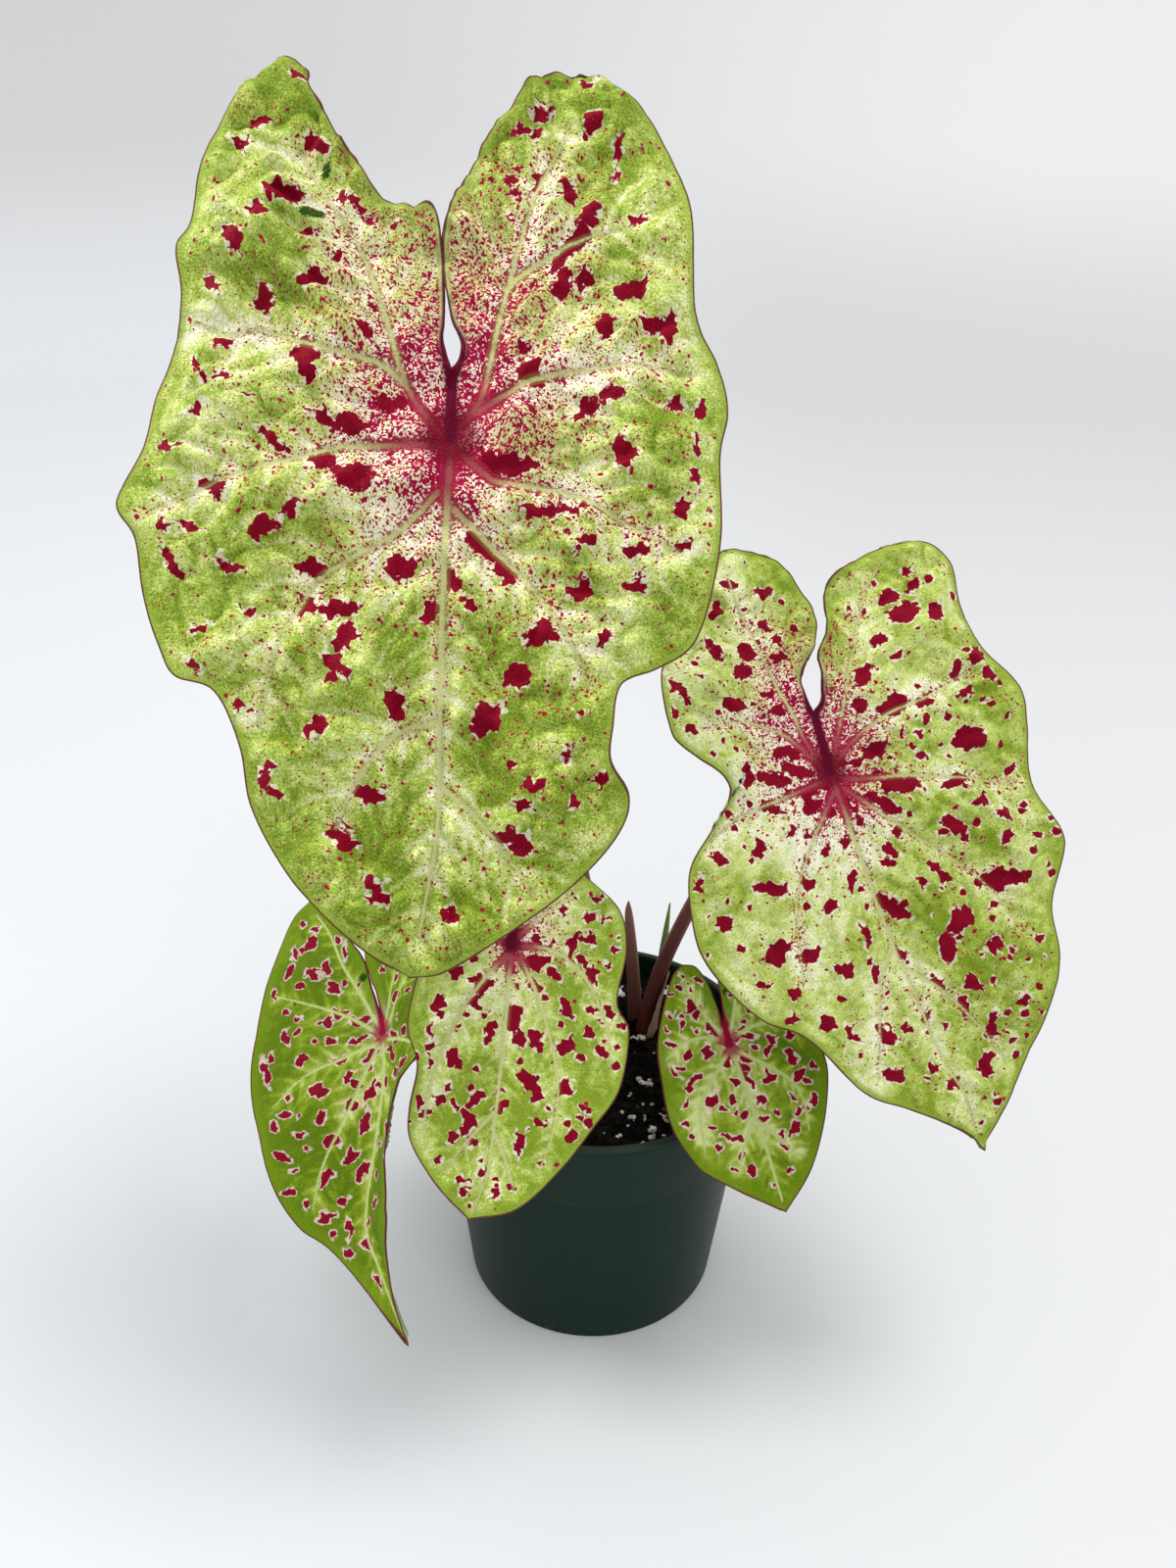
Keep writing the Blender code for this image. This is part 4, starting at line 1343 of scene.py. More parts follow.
MARKS_A: Marks = (
    (-55, 80, 4, 3), (-59, 75, 5, 2, -10), (-40, 75, 5, 4, -30), (-45, 92, 3, 2),
    (-46, 59, 8, 4, -15), (-51, 53, 5, 4, -60), (-57, 46, 6, 3, -60), (-39, 50, 3, 3),
    (-32, 46, 3, 2), (-37, 38, 6, 4, 10), (-62, 35, 6, 3, -60), (-49, 33, 6, 3, -70),
    (-32, 61, 4, 2, -60), (-28, 59, 5, 2, -50), (-24, 55, 4, 2, -60), (-19, 54, 3, 2),
    (-23, 25, 5, 3, -30), (-21, 31, 3, 2), (-37, 17, 10, 5, -75), (-58, 21, 4, 2, 10),
    (-63, 13, 7, 1.5, -60), (-57, 11, 4, 2, -10), (-50, 7, 2, 2), (-63, 2, 4, 2, 20),
    (-15, 8, 10, 3, -5), (-27, 1.5, 13, 3.5, -10), (-43, -4, 10, 1.6, -35), (-31, -8, 8, 3, -10),
    (-23, -12, 11, 5, -10), (-69, -7, 4, 2.5), (-57, -17, 5, 3, -20), (-43, -27, 8, 3, 20),
    (-37, -22, 6, 2, 45), (-62, -27, 5, 2, -20), (-68, -27, 3, 1.6, -40), (-66, -36, 7, 2.5, -60),
    (-52, -36, 7, 2, -20), (-32, -35, 5, 3, 10), (-10, -34, 8, 4.5, 20), (-24, -45, 9, 4.5, 12),
    (-32, -45, 4, 4, 60), (-22, -52, 6, 4, 60), (-2, -45, 5, 3.5, 60), (-24, -58, 6, 3, -30),
    (-25, -62, 4, 2, 70), (-21, -61, 3, 2, -30), (-47, -46, 3, 2), (-57, -51, 5, 1, 20),
    (-58, -61, 4, 2, -30), (-9, -67, 7, 4, -70), (-28, -74, 6.5, 3.5, 60), (-39, -86, 6, 3, 80),
    (-36, -91, 3, 2, -30), (-14, -89, 7, 3), (-20, -100, 7, 4, -30), (-11, -112, 7, 4, -60),
    (-47, -70, 2, 1.2), (28, 98, 4, 3), (17, 89, 5, 3, 10), (16, 82, 3, 4, 60), (12, 83, 2, 2),
    (30, 87, 4, 3, -60), (29, 83, 2, 2), (37, 80, 5, 2, -80), (37, 73, 4, 2, 80),
    (11, 69, 4, 2, -80), (12, 65, 3, 2), (17, 69, 8, 1.6, 70), (25, 66, 7, 3.5, -70),
    (31, 60, 6, 4, 60), (43, 60, 5, 2, 40), (28, 53, 8, 4, 45), (24, 48, 5, 3, 45),
    (25, 42, 7, 3.5, 80), (31, 43, 5, 3, 50), (42, 41, 8, 4.5, 20), (36, 31, 6, 3.5, 40),
    (50, 31, 8, 4.5, -20), (53, 34, 4, 2, 40), (19, 17, 5, 5, 50), (17, 24, 4, 2, 70),
    (39, 13, 6, 3.5, 20), (33, 9, 7, 3.5, 45), (55, 11, 5, 2), (61, 10, 4, 2, 80), (19, 7, 3, 2),
    (43, -3, 8, 4, -80), (61, 1, 4, 2, -70), (61, -7, 5, 2, -70), (58, -15, 4, 3, 40),
    (15, -7, 11, 4.5, 5), (10, -5, 5, 2.5, -30), (24, -18, 10, 3), (31, -17.5, 7, 2, 10),
    (9, -27, 9, 3, -35), (15, -32, 8, 4, -45), (3, -36, 5, 3, -70), (7, -42, 4, 2, -30),
    (35, -26, 4, 3), (34, -37, 6, 4, 20), (47, -26, 5, 3), (48, -32, 3, 2, -40), (48, -35, 4, 2),
    (59, -25, 3, 1.6), (25, -48, 8, 5, 10), (41, -48, 4, 3, 45), (20, -59, 6, 5),
    (14, -69, 9, 5, 50), (36, -67, 2, 1.2), (34, -78, 4, 2, -45), (42, -82, 4, 3),
    (26, -85, 4, 2.6), (24, -90, 4, 2, -10), (20, -80, 2, 2), (20, -98, 10, 3), (24, -100, 4, 4),
    (36, -89, 2, 2), (7, -117, 3, 3, -30))
MARKS_B: Marks = (
    (-7, 63, 5, 3, -45), (-14, 56, 4, 4), (2, 57, 4, 3, 10), (-2, 48, 4, 2, 50),
    (-19, 45, 8, 3.5, -80), (-10, 41, 5, 4, -80), (-14, 36, 5, 4, 60), (-34, 37, 8, 2, -75),
    (-27, 38, 3, 1.6, -30), (-37, 31, 4, 2, -80), (-20, 27, 7, 3, -30), (-2, 37, 4, 3, 20),
    (0, 42, 3, 2, 20), (-8, 22, 3, 3, -40), (-8, 27, 2, 2, 60), (-35, 24, 3, 1.5, -10),
    (-24, 15, 2, 2), (-24, 6, 6, 3.5, 70), (-17, 3, 8, 4, -30), (-10, 9, 9, 3.5),
    (-9, 3, 8, 3, -40), (-7, -3, 10, 3, 5), (-9, -8, 7, 3, 5), (-21, -5, 7, 3, -40),
    (-29, -15, 4, 3, 60), (-41, -13, 5, 3, -50), (-49, -18, 4, 1.5, 60), (-18, -13, 4, 2, 20),
    (-14, -15, 3, 2, 50), (-5, -12, 3, 2, 50), (-4, -21, 5, 2.5, 70), (-9, -21, 4, 2, 50),
    (-30, -26, 11, 3, -25), (-19, -28, 4, 3), (-6, -33, 6, 2.5, 65), (-46, -31, 4, 4, -60),
    (-15, -37, 4, 3, 60), (-34, -44, 7, 4.5, 10), (-25, -48, 7, 3, 10), (-8, -48, 6, 2.2, 85),
    (-41, -51, 3, 2, -10), (-18, -55, 5, 3, -40), (-9, -60, 4, 2, 80), (-9, -55, 2, 2),
    (-34, -56, 3, 2, 10), (-36, -63, 3, 1.5, -20), (-28, -67, 4, 2.5, -40), (-22, -72, 6, 2, -75),
    (-12, -76, 7, 3, -60), (-5, -76, 2, 1.4), (-4, -78, 2, 1.4, 60), (-13, -88, 6, 3, -30),
    (-1, -90, 2, 1.4), (46, 49, 3, 2, 20), (37, 44, 6, 3.5), (45, 44, 5, 2.5, 10),
    (39, 37, 9, 5, 15), (48, 34, 6, 4, 45), (29, 32, 5, 3, 15), (20, 23, 7, 4.5, 40),
    (32, 26, 3, 2, 20), (47, 16, 7, 2, 60), (54, 17, 5, 3, 50), (15, 15, 4, 4, 30),
    (25, 12, 9, 5, 15), (34, 10, 5, 3, 20), (46, 8, 5, 2.5, 20), (55, 11, 4, 3, 30),
    (14, 1, 7, 3.5, 20), (7, 0, 8, 2), (24, 4, 2, 2), (33, 5, 3, 2, 10), (29, 2, 3, 2),
    (42, -5, 8, 5.5, -30), (28, -5, 3, 1.4), (26, -2, 2, 2), (50, 4, 2, 1.4), (18, -11, 11, 4, -10),
    (33, -16, 8, 3), (12, -16, 7, 3, -45), (9, -12, 4, 2, -40), (51, -18, 3, 3, 40),
    (38, -24, 5, 3, -30), (28, -27, 7, 3.5, -45), (30, -31, 4, 2, -70), (12, -23, 3, 2.4, -45),
    (8, -28, 5, 2.2, -50), (5, -30, 3, 2, 40), (2, -14, 7, 2, -70), (43, -29, 4, 3),
    (41, -35, 4, 3, 10), (19, -38, 7, 2, -60), (13, -40, 2, 3), (1, -41, 7, 4, -60),
    (5, -46, 6, 3, -45), (36, -46, 9, 5, -10), (43, -48, 5, 3, 20), (47, -42, 3, 2, 60),
    (50, -38, 2, 2), (50, -30, 2, 1.4), (20, -53, 8, 5, 20), (14, -59, 7, 3.5, 75),
    (1, -57, 4, 2.4, -45), (31, -53, 3, 1.4), (27, -64, 4, 3, 50), (41, -66, 3, 2, 20),
    (32, -67, 2, 2), (17, -71, 4, 4, -40), (8, -69, 2, 2), (13, -77, 6, 3, -80), (2, -76, 3, 2),
    (29, -80, 3, 3, 20), (19, -85, 8, 2.2, 75), (24, -83, 3, 2, 30), (14, -95, 6, 3.5, 60),
    (3, -97, 3, 2, -20))
MARKS_C: Marks = (
    (-22, 44, 3, 2, -60), (-24, 40, 4, 2, 80), (-27, 48, 2, 2, -30), (-26, 38, 3, 2, -50),
    (-29, 37, 5, 1.4, -80), (-31, 31, 3, 3), (-36, 24, 3, 1.4, -70), (-22, 27, 5, 2, -50),
    (-18, 28, 5, 2.2, -80), (-27, 25, 3, 2, 90), (-16, 20, 5, 2.4, -50), (-32, 17, 3, 2, -40),
    (-12, 33, 5, 1.2, -85), (-15, 38, 2, 1.4, -30), (-12, 21, 1.4, 1.4), (-8, 19, 2, 1.2, 60),
    (-15, 11, 6, 2.6, -25), (-19, 9, 4, 2.2, -45), (-8, 6, 6, 2.6, -10), (-32, 7, 5, 2, -75),
    (-28, 9, 2, 2), (-28, 13, 2, 1.4, -60), (-38, 3, 3, 1.4, 50), (-40, -2, 8, 1.6, -80),
    (-28, -1, 4, 3, 20), (-18, 2, 2.4, 2), (-9, 0, 6, 1.6, 5), (-23, 4, 2, 1.2, -60),
    (-16, -4, 4, 2, 15), (-5, -6, 6, 2, 30), (-13, -11, 4, 2, 40), (-11, -14, 3, 2, 80),
    (-6, -10, 3, 1.6, 40), (-23, -12, 6.5, 3.6, -25), (-34, -12, 2, 2, -40),
    (-35, -17, 4, 1.8, -20), (-7, -17, 7, 1.8, 45), (-3, -17, 2, 2, 60), (-14, -20, 5, 2.2, 30),
    (-39, -20, 3.4, 2.2, -60), (-24, -21, 4, 2.4, 45), (-31, -24, 3, 2, -20), (-30, -19, 2, 1.4),
    (-10, -26, 7, 2.6, 60), (-22, -29, 5, 3, -30), (-38, -29, 5, 2, -40), (-30, -29, 2, 1.6),
    (-17, -34, 5, 2.6, 20), (-15, -40, 5.5, 2.6, 30), (-26, -39, 5, 2.4, 15), (-38, -40, 3, 1.4),
    (-23, -47, 3, 2.6, -30), (-29, -50, 4.4, 1.8), (-34, -45, 2, 1.4, 20), (-23, -55, 5, 1.4, 85),
    (-15, -55, 3.4, 1.8), (-17, -61, 4, 2, -20), (-24, -62, 4, 2, -60), (-28, -55, 2.4, 1.2, 80),
    (-15, -72, 3.4, 1.2, -75), (-35, -34, 2.4, 1.4), (0, -17, 3, 1.4, -80), (7, -5, 6, 2.6, -30),
    (4, -9, 6, 2.4, -45), (11, 7, 6, 2.4, -20), (11, 14, 3, 2, -30), (2, 20, 3, 1.4, -30),
    (14, -6, 3, 2, 70), (20, 4, 2, 1.4, -20), (10, 0, 2, 1.4, 70), (9, -18, 6, 2, -10),
    (16, -18, 7, 3, -20), (6, -24, 5, 1.6, -30), (1, -38, 14, 2.4, -22), (18, -40, 16, 3, -28),
    (-4, -45, 9, 2.6, -28), (-5, -53, 8, 3, -16), (24, -52, 12, 2, -26), (26, 20, 5, 3, 30),
    (22, 32, 5, 2, 60), (31, 4, 5, 3, -20), (30, -12, 5, 2, 50), (12, 28, 4, 2, 40))
MARKS_D: Marks = (
    (22, 17, 3, 1.4, 10), (15.5, 16, 2, 1.6, -30), (13, 12, 2, 1.6), (21, 11, 3.4, 1.8, 60),
    (25, 11, 2.6, 2, 10), (21, 5, 4, 2.6), (17, 2, 7, 2, 75), (21, -2, 4, 2.2, -50),
    (24, -5.5, 5, 2.4, -50), (7, 3, 3, 2), (10, 0.5, 3, 2, 20), (29, 3.5, 2, 1.4, 20),
    (28, -1, 2, 1.2, 60), (7.5, -4, 6, 3, 20), (14, -7, 2.6, 1.4, -50), (1, -7, 3.6, 1.8, -60),
    (9, -11, 3, 2, -60), (17.5, -15, 6.5, 2.8, -60), (25, -14.5, 3.4, 1.8, -40), (30, -15, 2, 2),
    (28, -18, 2.4, 1.4, -50), (34, -18, 2, 1.4, 80), (25, -21.5, 3, 2), (34, -24, 2.2, 2),
    (30, -26, 3.4, 1.6, 10), (-14, -10, 4, 3, -20), (-6, -13, 5, 2.6, 70), (-8, -17, 4, 2.4, 30),
    (-8, -11, 3, 1.6, 60), (-17, -19, 4, 3, 20), (-4, -20, 3.4, 1.8, 60), (4, -20, 6, 4, -70),
    (6, -25, 4, 3, -50), (11, -25, 5, 3.4, -50), (19, -25.5, 5, 4, 20), (-2, -25, 5.4, 2, 80),
    (-18, -26, 4, 1.6, 75), (-11, -25, 1.4, 1.2), (-18, -31, 3, 1.6, 70), (-11, -34, 4.4, 3, 60),
    (-17, -35, 3.4, 1.4, -80), (11, -37, 6, 3.4, -40), (13.5, -40, 4, 2.4, -80),
    (21, -37, 5, 3.4, 15), (4, -40, 2.4, 1.4), (4.5, -44.5, 2.4, 2), (-3, -44, 5, 3.2, 75),
    (-4, -50, 6, 2.8, -70), (-7, -54, 4, 2.8, 60), (-2, -55, 2.4, 2), (-13, -45, 2.6, 1.4, 20),
    (-8, -46, 2.6, 1.6, -60), (-18, -46, 2.6, 1.4, -70), (-16, -49, 2.6, 1.4, 30),
    (-11, -42, 2.4, 1.4, 60), (11, -54, 6.4, 2.6, -80), (16, -48, 2.4, 1.2, -20),
    (18, -46, 1.6, 1.2), (26, -45, 2, 1.4, -40), (25, -50, 2.2, 1.8), (27, -42, 1.6, 1.2),
    (2, -62, 2.4, 1.8, 60), (-3, -65, 2.2, 1.4), (-2, -68, 2, 2), (11, -66, 2.6, 2),
    (7, -69, 2, 1.2, 50), (7, -64, 1.2, 1.2), (-10, -61, 2.4, 1.2), (-21, -52, 2, 1.4, -70))
MARKS_E: Marks = (
    (-7, 24, 1.4, 1.2), (-9, 20, 1.4, 1.4), (-12, 19, 1.6, 1.2, 60), (-5, 18.5, 1.4, 1),
    (-6, 21, 1.2, 1), (-3, 21, 2, 1, -60), (-7.5, 14.5, 3, 2.2, 60), (-6, 12, 4, 1.4, 40),
    (-11, 12, 2, 1.2, 50), (-14, 13, 1.4, 1, -45), (-12, 8.5, 3.4, 1.8, 40), (-4, 5.5, 3, 1.8, -60),
    (-17, 5, 3, 1.2, -60), (-17, 9, 1.4, 1.2), (-8, 7, 1.4, 1), (-13.5, 0.5, 2.4, 2.2),
    (-8, 0.5, 3.4, 2, 60), (-7, -1.5, 3, 1.8, -20), (-17, -1.5, 1.4, 1.2), (-18.5, -3.5, 3, 1, -60),
    (-14.5, -7, 4, 2, 60), (-12, -6, 2, 1.4, 20), (-16, -9, 2, 1.2, 60), (-2.5, -4.5, 4, 1.2, 60),
    (1, -7.5, 6, 2, -70), (4, -6.5, 4, 1.4, -60), (5, 0, 5, 1.2, -10), (6, 5, 2, 1.4, 20),
    (5.5, 2.5, 2, 1.2, 20), (7, 1, 2, 1.2, -20), (5, 13, 1.4, 1), (9, 9, 3, 1.2, -70),
    (7, -3.5, 2, 1.4), (12.5, -2.5, 2.4, 1.8, -30), (11, -5, 4, 1.6, 20), (18, -3, 2.4, 1.6, 20),
    (16.5, -8, 3, 1.8, -40), (17, -10, 3, 1.8, 20), (17, -14.5, 4, 2, 20), (22, -13, 2, 1.4, 60),
    (18.5, -17.5, 2.4, 1.6, -40), (8.5, -13.5, 5, 2.4, -10), (2, -12.5, 4, 1.4, -50),
    (-2, -11, 2.6, 2, -30), (-18.5, -13, 2.4, 1.4, 30), (-10.5, -14.5, 5, 2, 35),
    (-3.8, -15.5, 2.5, 1.8, -60), (-20.5, -18.5, 3, 1.2, -60), (-19.5, -22.5, 1.6, 1.2),
    (-8, -17, 1.6, 1.2), (-5, -19, 2, 1.2, 80), (4, -18.5, 3, 1.8, -50), (13, -21, 2.5, 1.6, -60),
    (-2.6, -21.5, 3, 1.5, 70), (-13, -21.5, 2.6, 1.2, -10), (2.5, -23.5, 3, 1.8, 10),
    (7.5, -23.5, 2.4, 1.5, -60), (19, -23, 3, 1.8, 50), (14, -25, 2, 1.4, 30),
    (16, -24, 1.6, 1, 70), (-9, -25.5, 4, 1.5, -20), (-6, -27.5, 3, 1.5, -30),
    (-13, -27.5, 2.6, 2, -20), (10.5, -29, 4.4, 1.8, 50), (6.5, -33, 3.4, 1.5, -45),
    (-7, -32, 2, 1.6), (-10.5, -35, 1.6, 1, 30), (-5.5, -37, 2.6, 2), (6, -40.5, 3, 1.8, 20),
    (-0.5, -42.5, 1.6, 1), (6.5, -29, 1.2, 1))

BLADE_A = Blade(
    "a", LeafKind.PALE, (-40.0, -26.5, 298.0), 2.0, 34.0, -3.0,
    midrib=((2, -107), (3, -93), (1, -45), (0, 0)),
    slit_left=((-1, 17.5), (-3.6, 25), (-4, 33), (-6.5, 54), (-10, 59), (-19, 61), (-26, 67),
               (-41.5, 88.5), (-44, 96), (-51.5, 98.5)),
    slit_right=((-1, 17.5), (1, 24), (-2.8, 33), (-5.2, 54), (3.5, 82.5), (9, 91), (16, 99),
                (24.5, 102)),
    edge_left=((-1.5, -133.5), (-14, -127), (-31.5, -112), (-42.5, -95.5), (-46, -80), (-53, -67),
               (-63.5, -63.5), (-68, -57), (-73, -44.5), (-75.5, -30.5), (-80.5, -22),
               (-75.5, -7.5), (-74.5, 6), (-71, 18), (-70, 32), (-72, 44.5), (-69, 52), (-69, 70.5),
               (-62, 91.5), (-51.5, 98.5)),
    edge_right=((-1.5, -133.5), (8, -131), (27.5, -117), (40, -105.5), (48, -94.5), (49.5, -86),
                (44.5, -78), (44.5, -70), (46, -59), (55, -54), (64, -46), (68, -24.5), (67, -1),
                (68.5, 11.5), (65.5, 23.5), (59, 36.5), (56.5, 62.5), (51, 78), (43.5, 92.5),
                (35, 100), (24.5, 102)),
    folds=(0.10, 0.12, 0.12), cup=0.0014, tip_droop=0.0009, lobe_droop=0.0006,
    stalk=((7, 20, 62), (4, 22.5, 78), (1, 24, 95), (-6, 24, 140), (-19, 17, 200), (-32, 0, 255),
           (-38, -13, 282)),
    stalk_radii=(3.0, 2.0), breaks=(0.47, 0.53), row_shares=(14, 2, 12), soft=8.0,
    waves=4.0, wave_size=2.2, pleat=0.9,
    veins=(((-3, 1), (-12, 13), (-20, 34), (-27, 49), (-36, 61), (-44, 74)),
           ((-12, 13), (-20, 18), (-33, 20), (-49, 25), (-57, 23), (-66, 26)),
           ((-3, -2), (-22, -4), (-30, -5), (-54, -14), (-62, -18), (-72, -24)),
           ((-2, -14), (-11, -24), (-27, -35), (-32, -41), (-38, -54), (-42, -74)),
           ((1, -71), (-6, -73), (-12, -78), (-18, -88), (-22, -98)),
           ((1, 2), (6, 9), (8, 17), (12, 44), (17, 66), (24, 84)),
           ((11, 40), (18, 47), (31, 54), (42, 58)),
           ((6, 7), (16, 14), (30, 19), (45, 21), (58, 20)),
           ((3, -4), (8, -8), (13, -11), (30, -13), (43, -19), (58, -26)),
           ((2, -18), (12, -27), (21, -35), (32, -48), (38, -60)),
           ((3, -86), (12, -93), (22, -104), (28, -112))),
    marks=MARKS_A, rumple=3.0, puff=2.6, branch_reach=22.0, rows=252, columns=82,
    speckle=(0.0, 15.0, 29.0, 42.0, 1.0), blush=18.0, flecks=FLECKS_A, green_and_shade_shift=0.04,
    vein_scale=1.0)
BLADE_B = Blade(
    "b", LeafKind.PALE, (66.0, -9.0, 199.5), 8.0, 38.0, 17.0,
    midrib=((5, -100), (2, -86), (-1, -45), (0, 0)),
    slit_left=((2.5, 18.5), (2, 24), (3.5, 30.5), (10.5, 37.5), (13.5, 48.5), (9.5, 65.5),
               (0, 73.5), (-4, 74.5)),
    slit_right=((2.5, 18.5), (6, 21.5), (10, 34), (15, 40), (20.5, 53), (32.5, 57.5), (42, 58.5)),
    edge_left=((4.5, -117.5), (1.5, -111), (-12, -99), (-23.5, -89.5), (-35, -69), (-45, -60),
               (-53, -45), (-55.5, -32), (-50.5, -14.5), (-40, -5), (-32, 1.5), (-31, 8), (-39, 20),
               (-40.5, 27.5), (-36, 44.5), (-26, 52), (-20, 63), (-4, 74.5)),
    edge_right=((4.5, -117.5), (16.5, -107), (27, -97), (36, -87), (45, -73), (49, -58.5),
                (57, -45.5), (58.5, -39), (56.5, -23.5), (61, -8), (63, 4.5), (58, 19), (57.5, 33),
                (59.5, 47), (54, 56), (42, 58.5)),
    folds=(0.14, 0.14, 0.14), cup=0.0016, tip_droop=0.0010, lobe_droop=0.0010,
    stalk=((16, 15, 62), (16.2, 15.6, 78), (17.5, 17, 93), (24, 19.5, 116), (37, 19, 148),
           (55, 10, 180)),
    stalk_radii=(2.8, 1.9), breaks=(0.45, 0.52), row_shares=(12, 2, 10), soft=6.0,
    waves=4.5, wave_size=1.6, pleat=0.6,
    veins=(((2, 2), (10, 15), (22, 34), (31, 47), (38, 53)),
           ((-2, 1), (-4, 18), (-6, 40), (-7, 56), (-6, 66)),
           ((2, 1), (10, 6), (22, 10), (36, 11), (50, 14)),
           ((2, -3), (10, -6), (21, -9), (36, -15), (50, -22)),
           ((2, -6), (12, -20), (27, -39), (33, -50), (38, -64)),
           ((-2, 1), (-7, 12), (-11, 16), (-20, 22), (-31, 23)),
           ((-2, -2), (-14, -3), (-31, -4), (-44, -9)),
           ((-1, -6), (-12, -17), (-21, -28), (-26, -39), (-30, -54)),
           ((0, -52), (-8, -62), (-14, -76), (-18, -88)),
           ((0, -60), (8, -70), (16, -84), (20, -96))),
    marks=MARKS_B, rumple=2.1, puff=1.8, branch_reach=18.0, rows=224, columns=72,
    speckle=(0.0, 14.0, 17.0, 26.0, 0.95), blush=15.0, flecks=FLECKS_B, green_and_shade_shift=-0.02,
    lean=0.12, smooth_ground=True)
BLADE_C = Blade(
    "c", LeafKind.GREEN, (-67.0, -23.0, 111.0), -55.0, 35.0, 53.5,
    midrib=((-10, -84), (-13.5, -71), (-17, -58.5), (-15.5, -49), (-7.5, -30.5), (-1.5, -14),
            (0, 0)),
    slit_left=((0, 4), (-2.6, 14), (-6, 28.5), (-14.5, 43), (-23.5, 57)),
    slit_right=((0, 4), (-1.8, 14), (-5.2, 28.5), (-2, 40), (8, 47), (20, 49)),
    edge_left=((-7.5, -92), (-14.5, -80.5), (-20, -72.5), (-31.5, -58), (-38.5, -50), (-43, -35.5),
               (-46.5, -12), (-45.5, 0.5), (-42, 13.5), (-38.5, 33.5), (-32, 51), (-23.5, 57)),
    edge_right=((-7.5, -92), (-8.5, -82), (-7.5, -74), (-4, -66), (6, -59), (18, -48), (31, -34),
                (39, -18), (41.5, -3), (40, 12), (35, 32), (29, 45), (20, 49)),
    folds=(0.45, 0.74, 0.40), cup=0.0010, tip_droop=0.0008, lobe_droop=0.0008,
    stalk=((4, 6, 61), (1, 2.5, 75), (-4, -2, 90), (-16, -8, 103), (-36, -14, 110)),
    stalk_radii=(2.4, 1.7), breaks=(0.46, 0.54), row_shares=(10, 2, 8), soft=4.0,
    waves=3.0, wave_size=1.2, pleat=0.4,
    veins=(((-1, 1), (-6, 12), (-13, 28), (-18, 42), (-22, 50)),
           ((-2, 0), (-12, 9), (-24, 17), (-36, 24)),
           ((-2, -3), (-14, -4), (-28, -6), (-40, -13)),
           ((-3, -5), (-14, -19), (-26, -34), (-33, -47)),
           ((1, 1), (8, 14), (14, 28), (20, 42)),
           ((2, 0), (14, 8), (26, 13), (37, 14)),
           ((1, -3), (12, -8), (24, -16), (34, -26)),
           ((-3, -18), (6, -28), (14, -38), (18, -46))),
    marks=MARKS_C, rumple=0.45, puff=0.55, branch_reach=13.0, rows=200, columns=58,
    # Leaf c's large shift is partly a greener leaf and partly painted shade, as it hangs down in
    # shade
    speckle=(0.0, 2.0, 6.0, 7.0, 0.0), blush=4.0, flecks=FLECKS_C, green_and_shade_shift=0.36)
BLADE_D = Blade(
    "d", LeafKind.PALE, (-24.5, -47.0, 161.5), 14.0, 38.0, -15.5,
    midrib=((3, -68), (4, -60), (2, -24), (0, 0)),
    slit_left=((-0.5, 5), (-3, 10), (-7, 15), (-12.5, 17.5)),
    slit_right=((-0.5, 5), (3, 12), (8, 18), (17.5, 23)),
    edge_left=((1, -75.5), (-9.5, -67.5), (-18.5, -57), (-20.5, -48), (-20.5, -36.5), (-25, -26),
               (-24.5, -10), (-24, 1), (-20, 12), (-12.5, 17.5)),
    edge_right=((1, -75.5), (13.5, -71), (24, -59), (31, -46), (36.5, -34.5), (37, -19), (32, -11),
                (32.5, 4), (29, 15), (17.5, 23)),
    folds=(0.16, 0.16, 0.16), cup=0.0030, tip_droop=0.0014, lobe_droop=0.0010,
    stalk=((9, 10, 62), (7, 9, 75), (4, 8, 90), (-4, 2, 118), (-15, -18, 145)),
    stalk_radii=(2.4, 1.7), breaks=(0.52, 0.62), row_shares=(10, 2, 7), soft=4.0,
    waves=3.0, wave_size=1.2, pleat=0.4,
    veins=(((3, -3), (10, -14), (18, -32), (20, -48), (18, -60)),
           ((2, 0), (12, 0), (22, -6), (30, -18), (33, -30)),
           ((1, 2), (8, 10), (16, 17)),
           ((-1, -3), (-9, -16), (-14, -30), (-16, -46), (-14, -58)),
           ((-1, 0), (-10, 2), (-18, 6)),
           ((3, -50), (8, -58), (12, -66)),
           ((3, -46), (-4, -56), (-8, -64))),
    marks=MARKS_D, rumple=0.5, puff=0.6, branch_reach=12.0, rows=180, columns=54,
    speckle=(4.0, 4.0, 12.0, 12.0, 0.45), blush=8.0, green_and_shade_shift=0.30,
    smooth_ground=True)
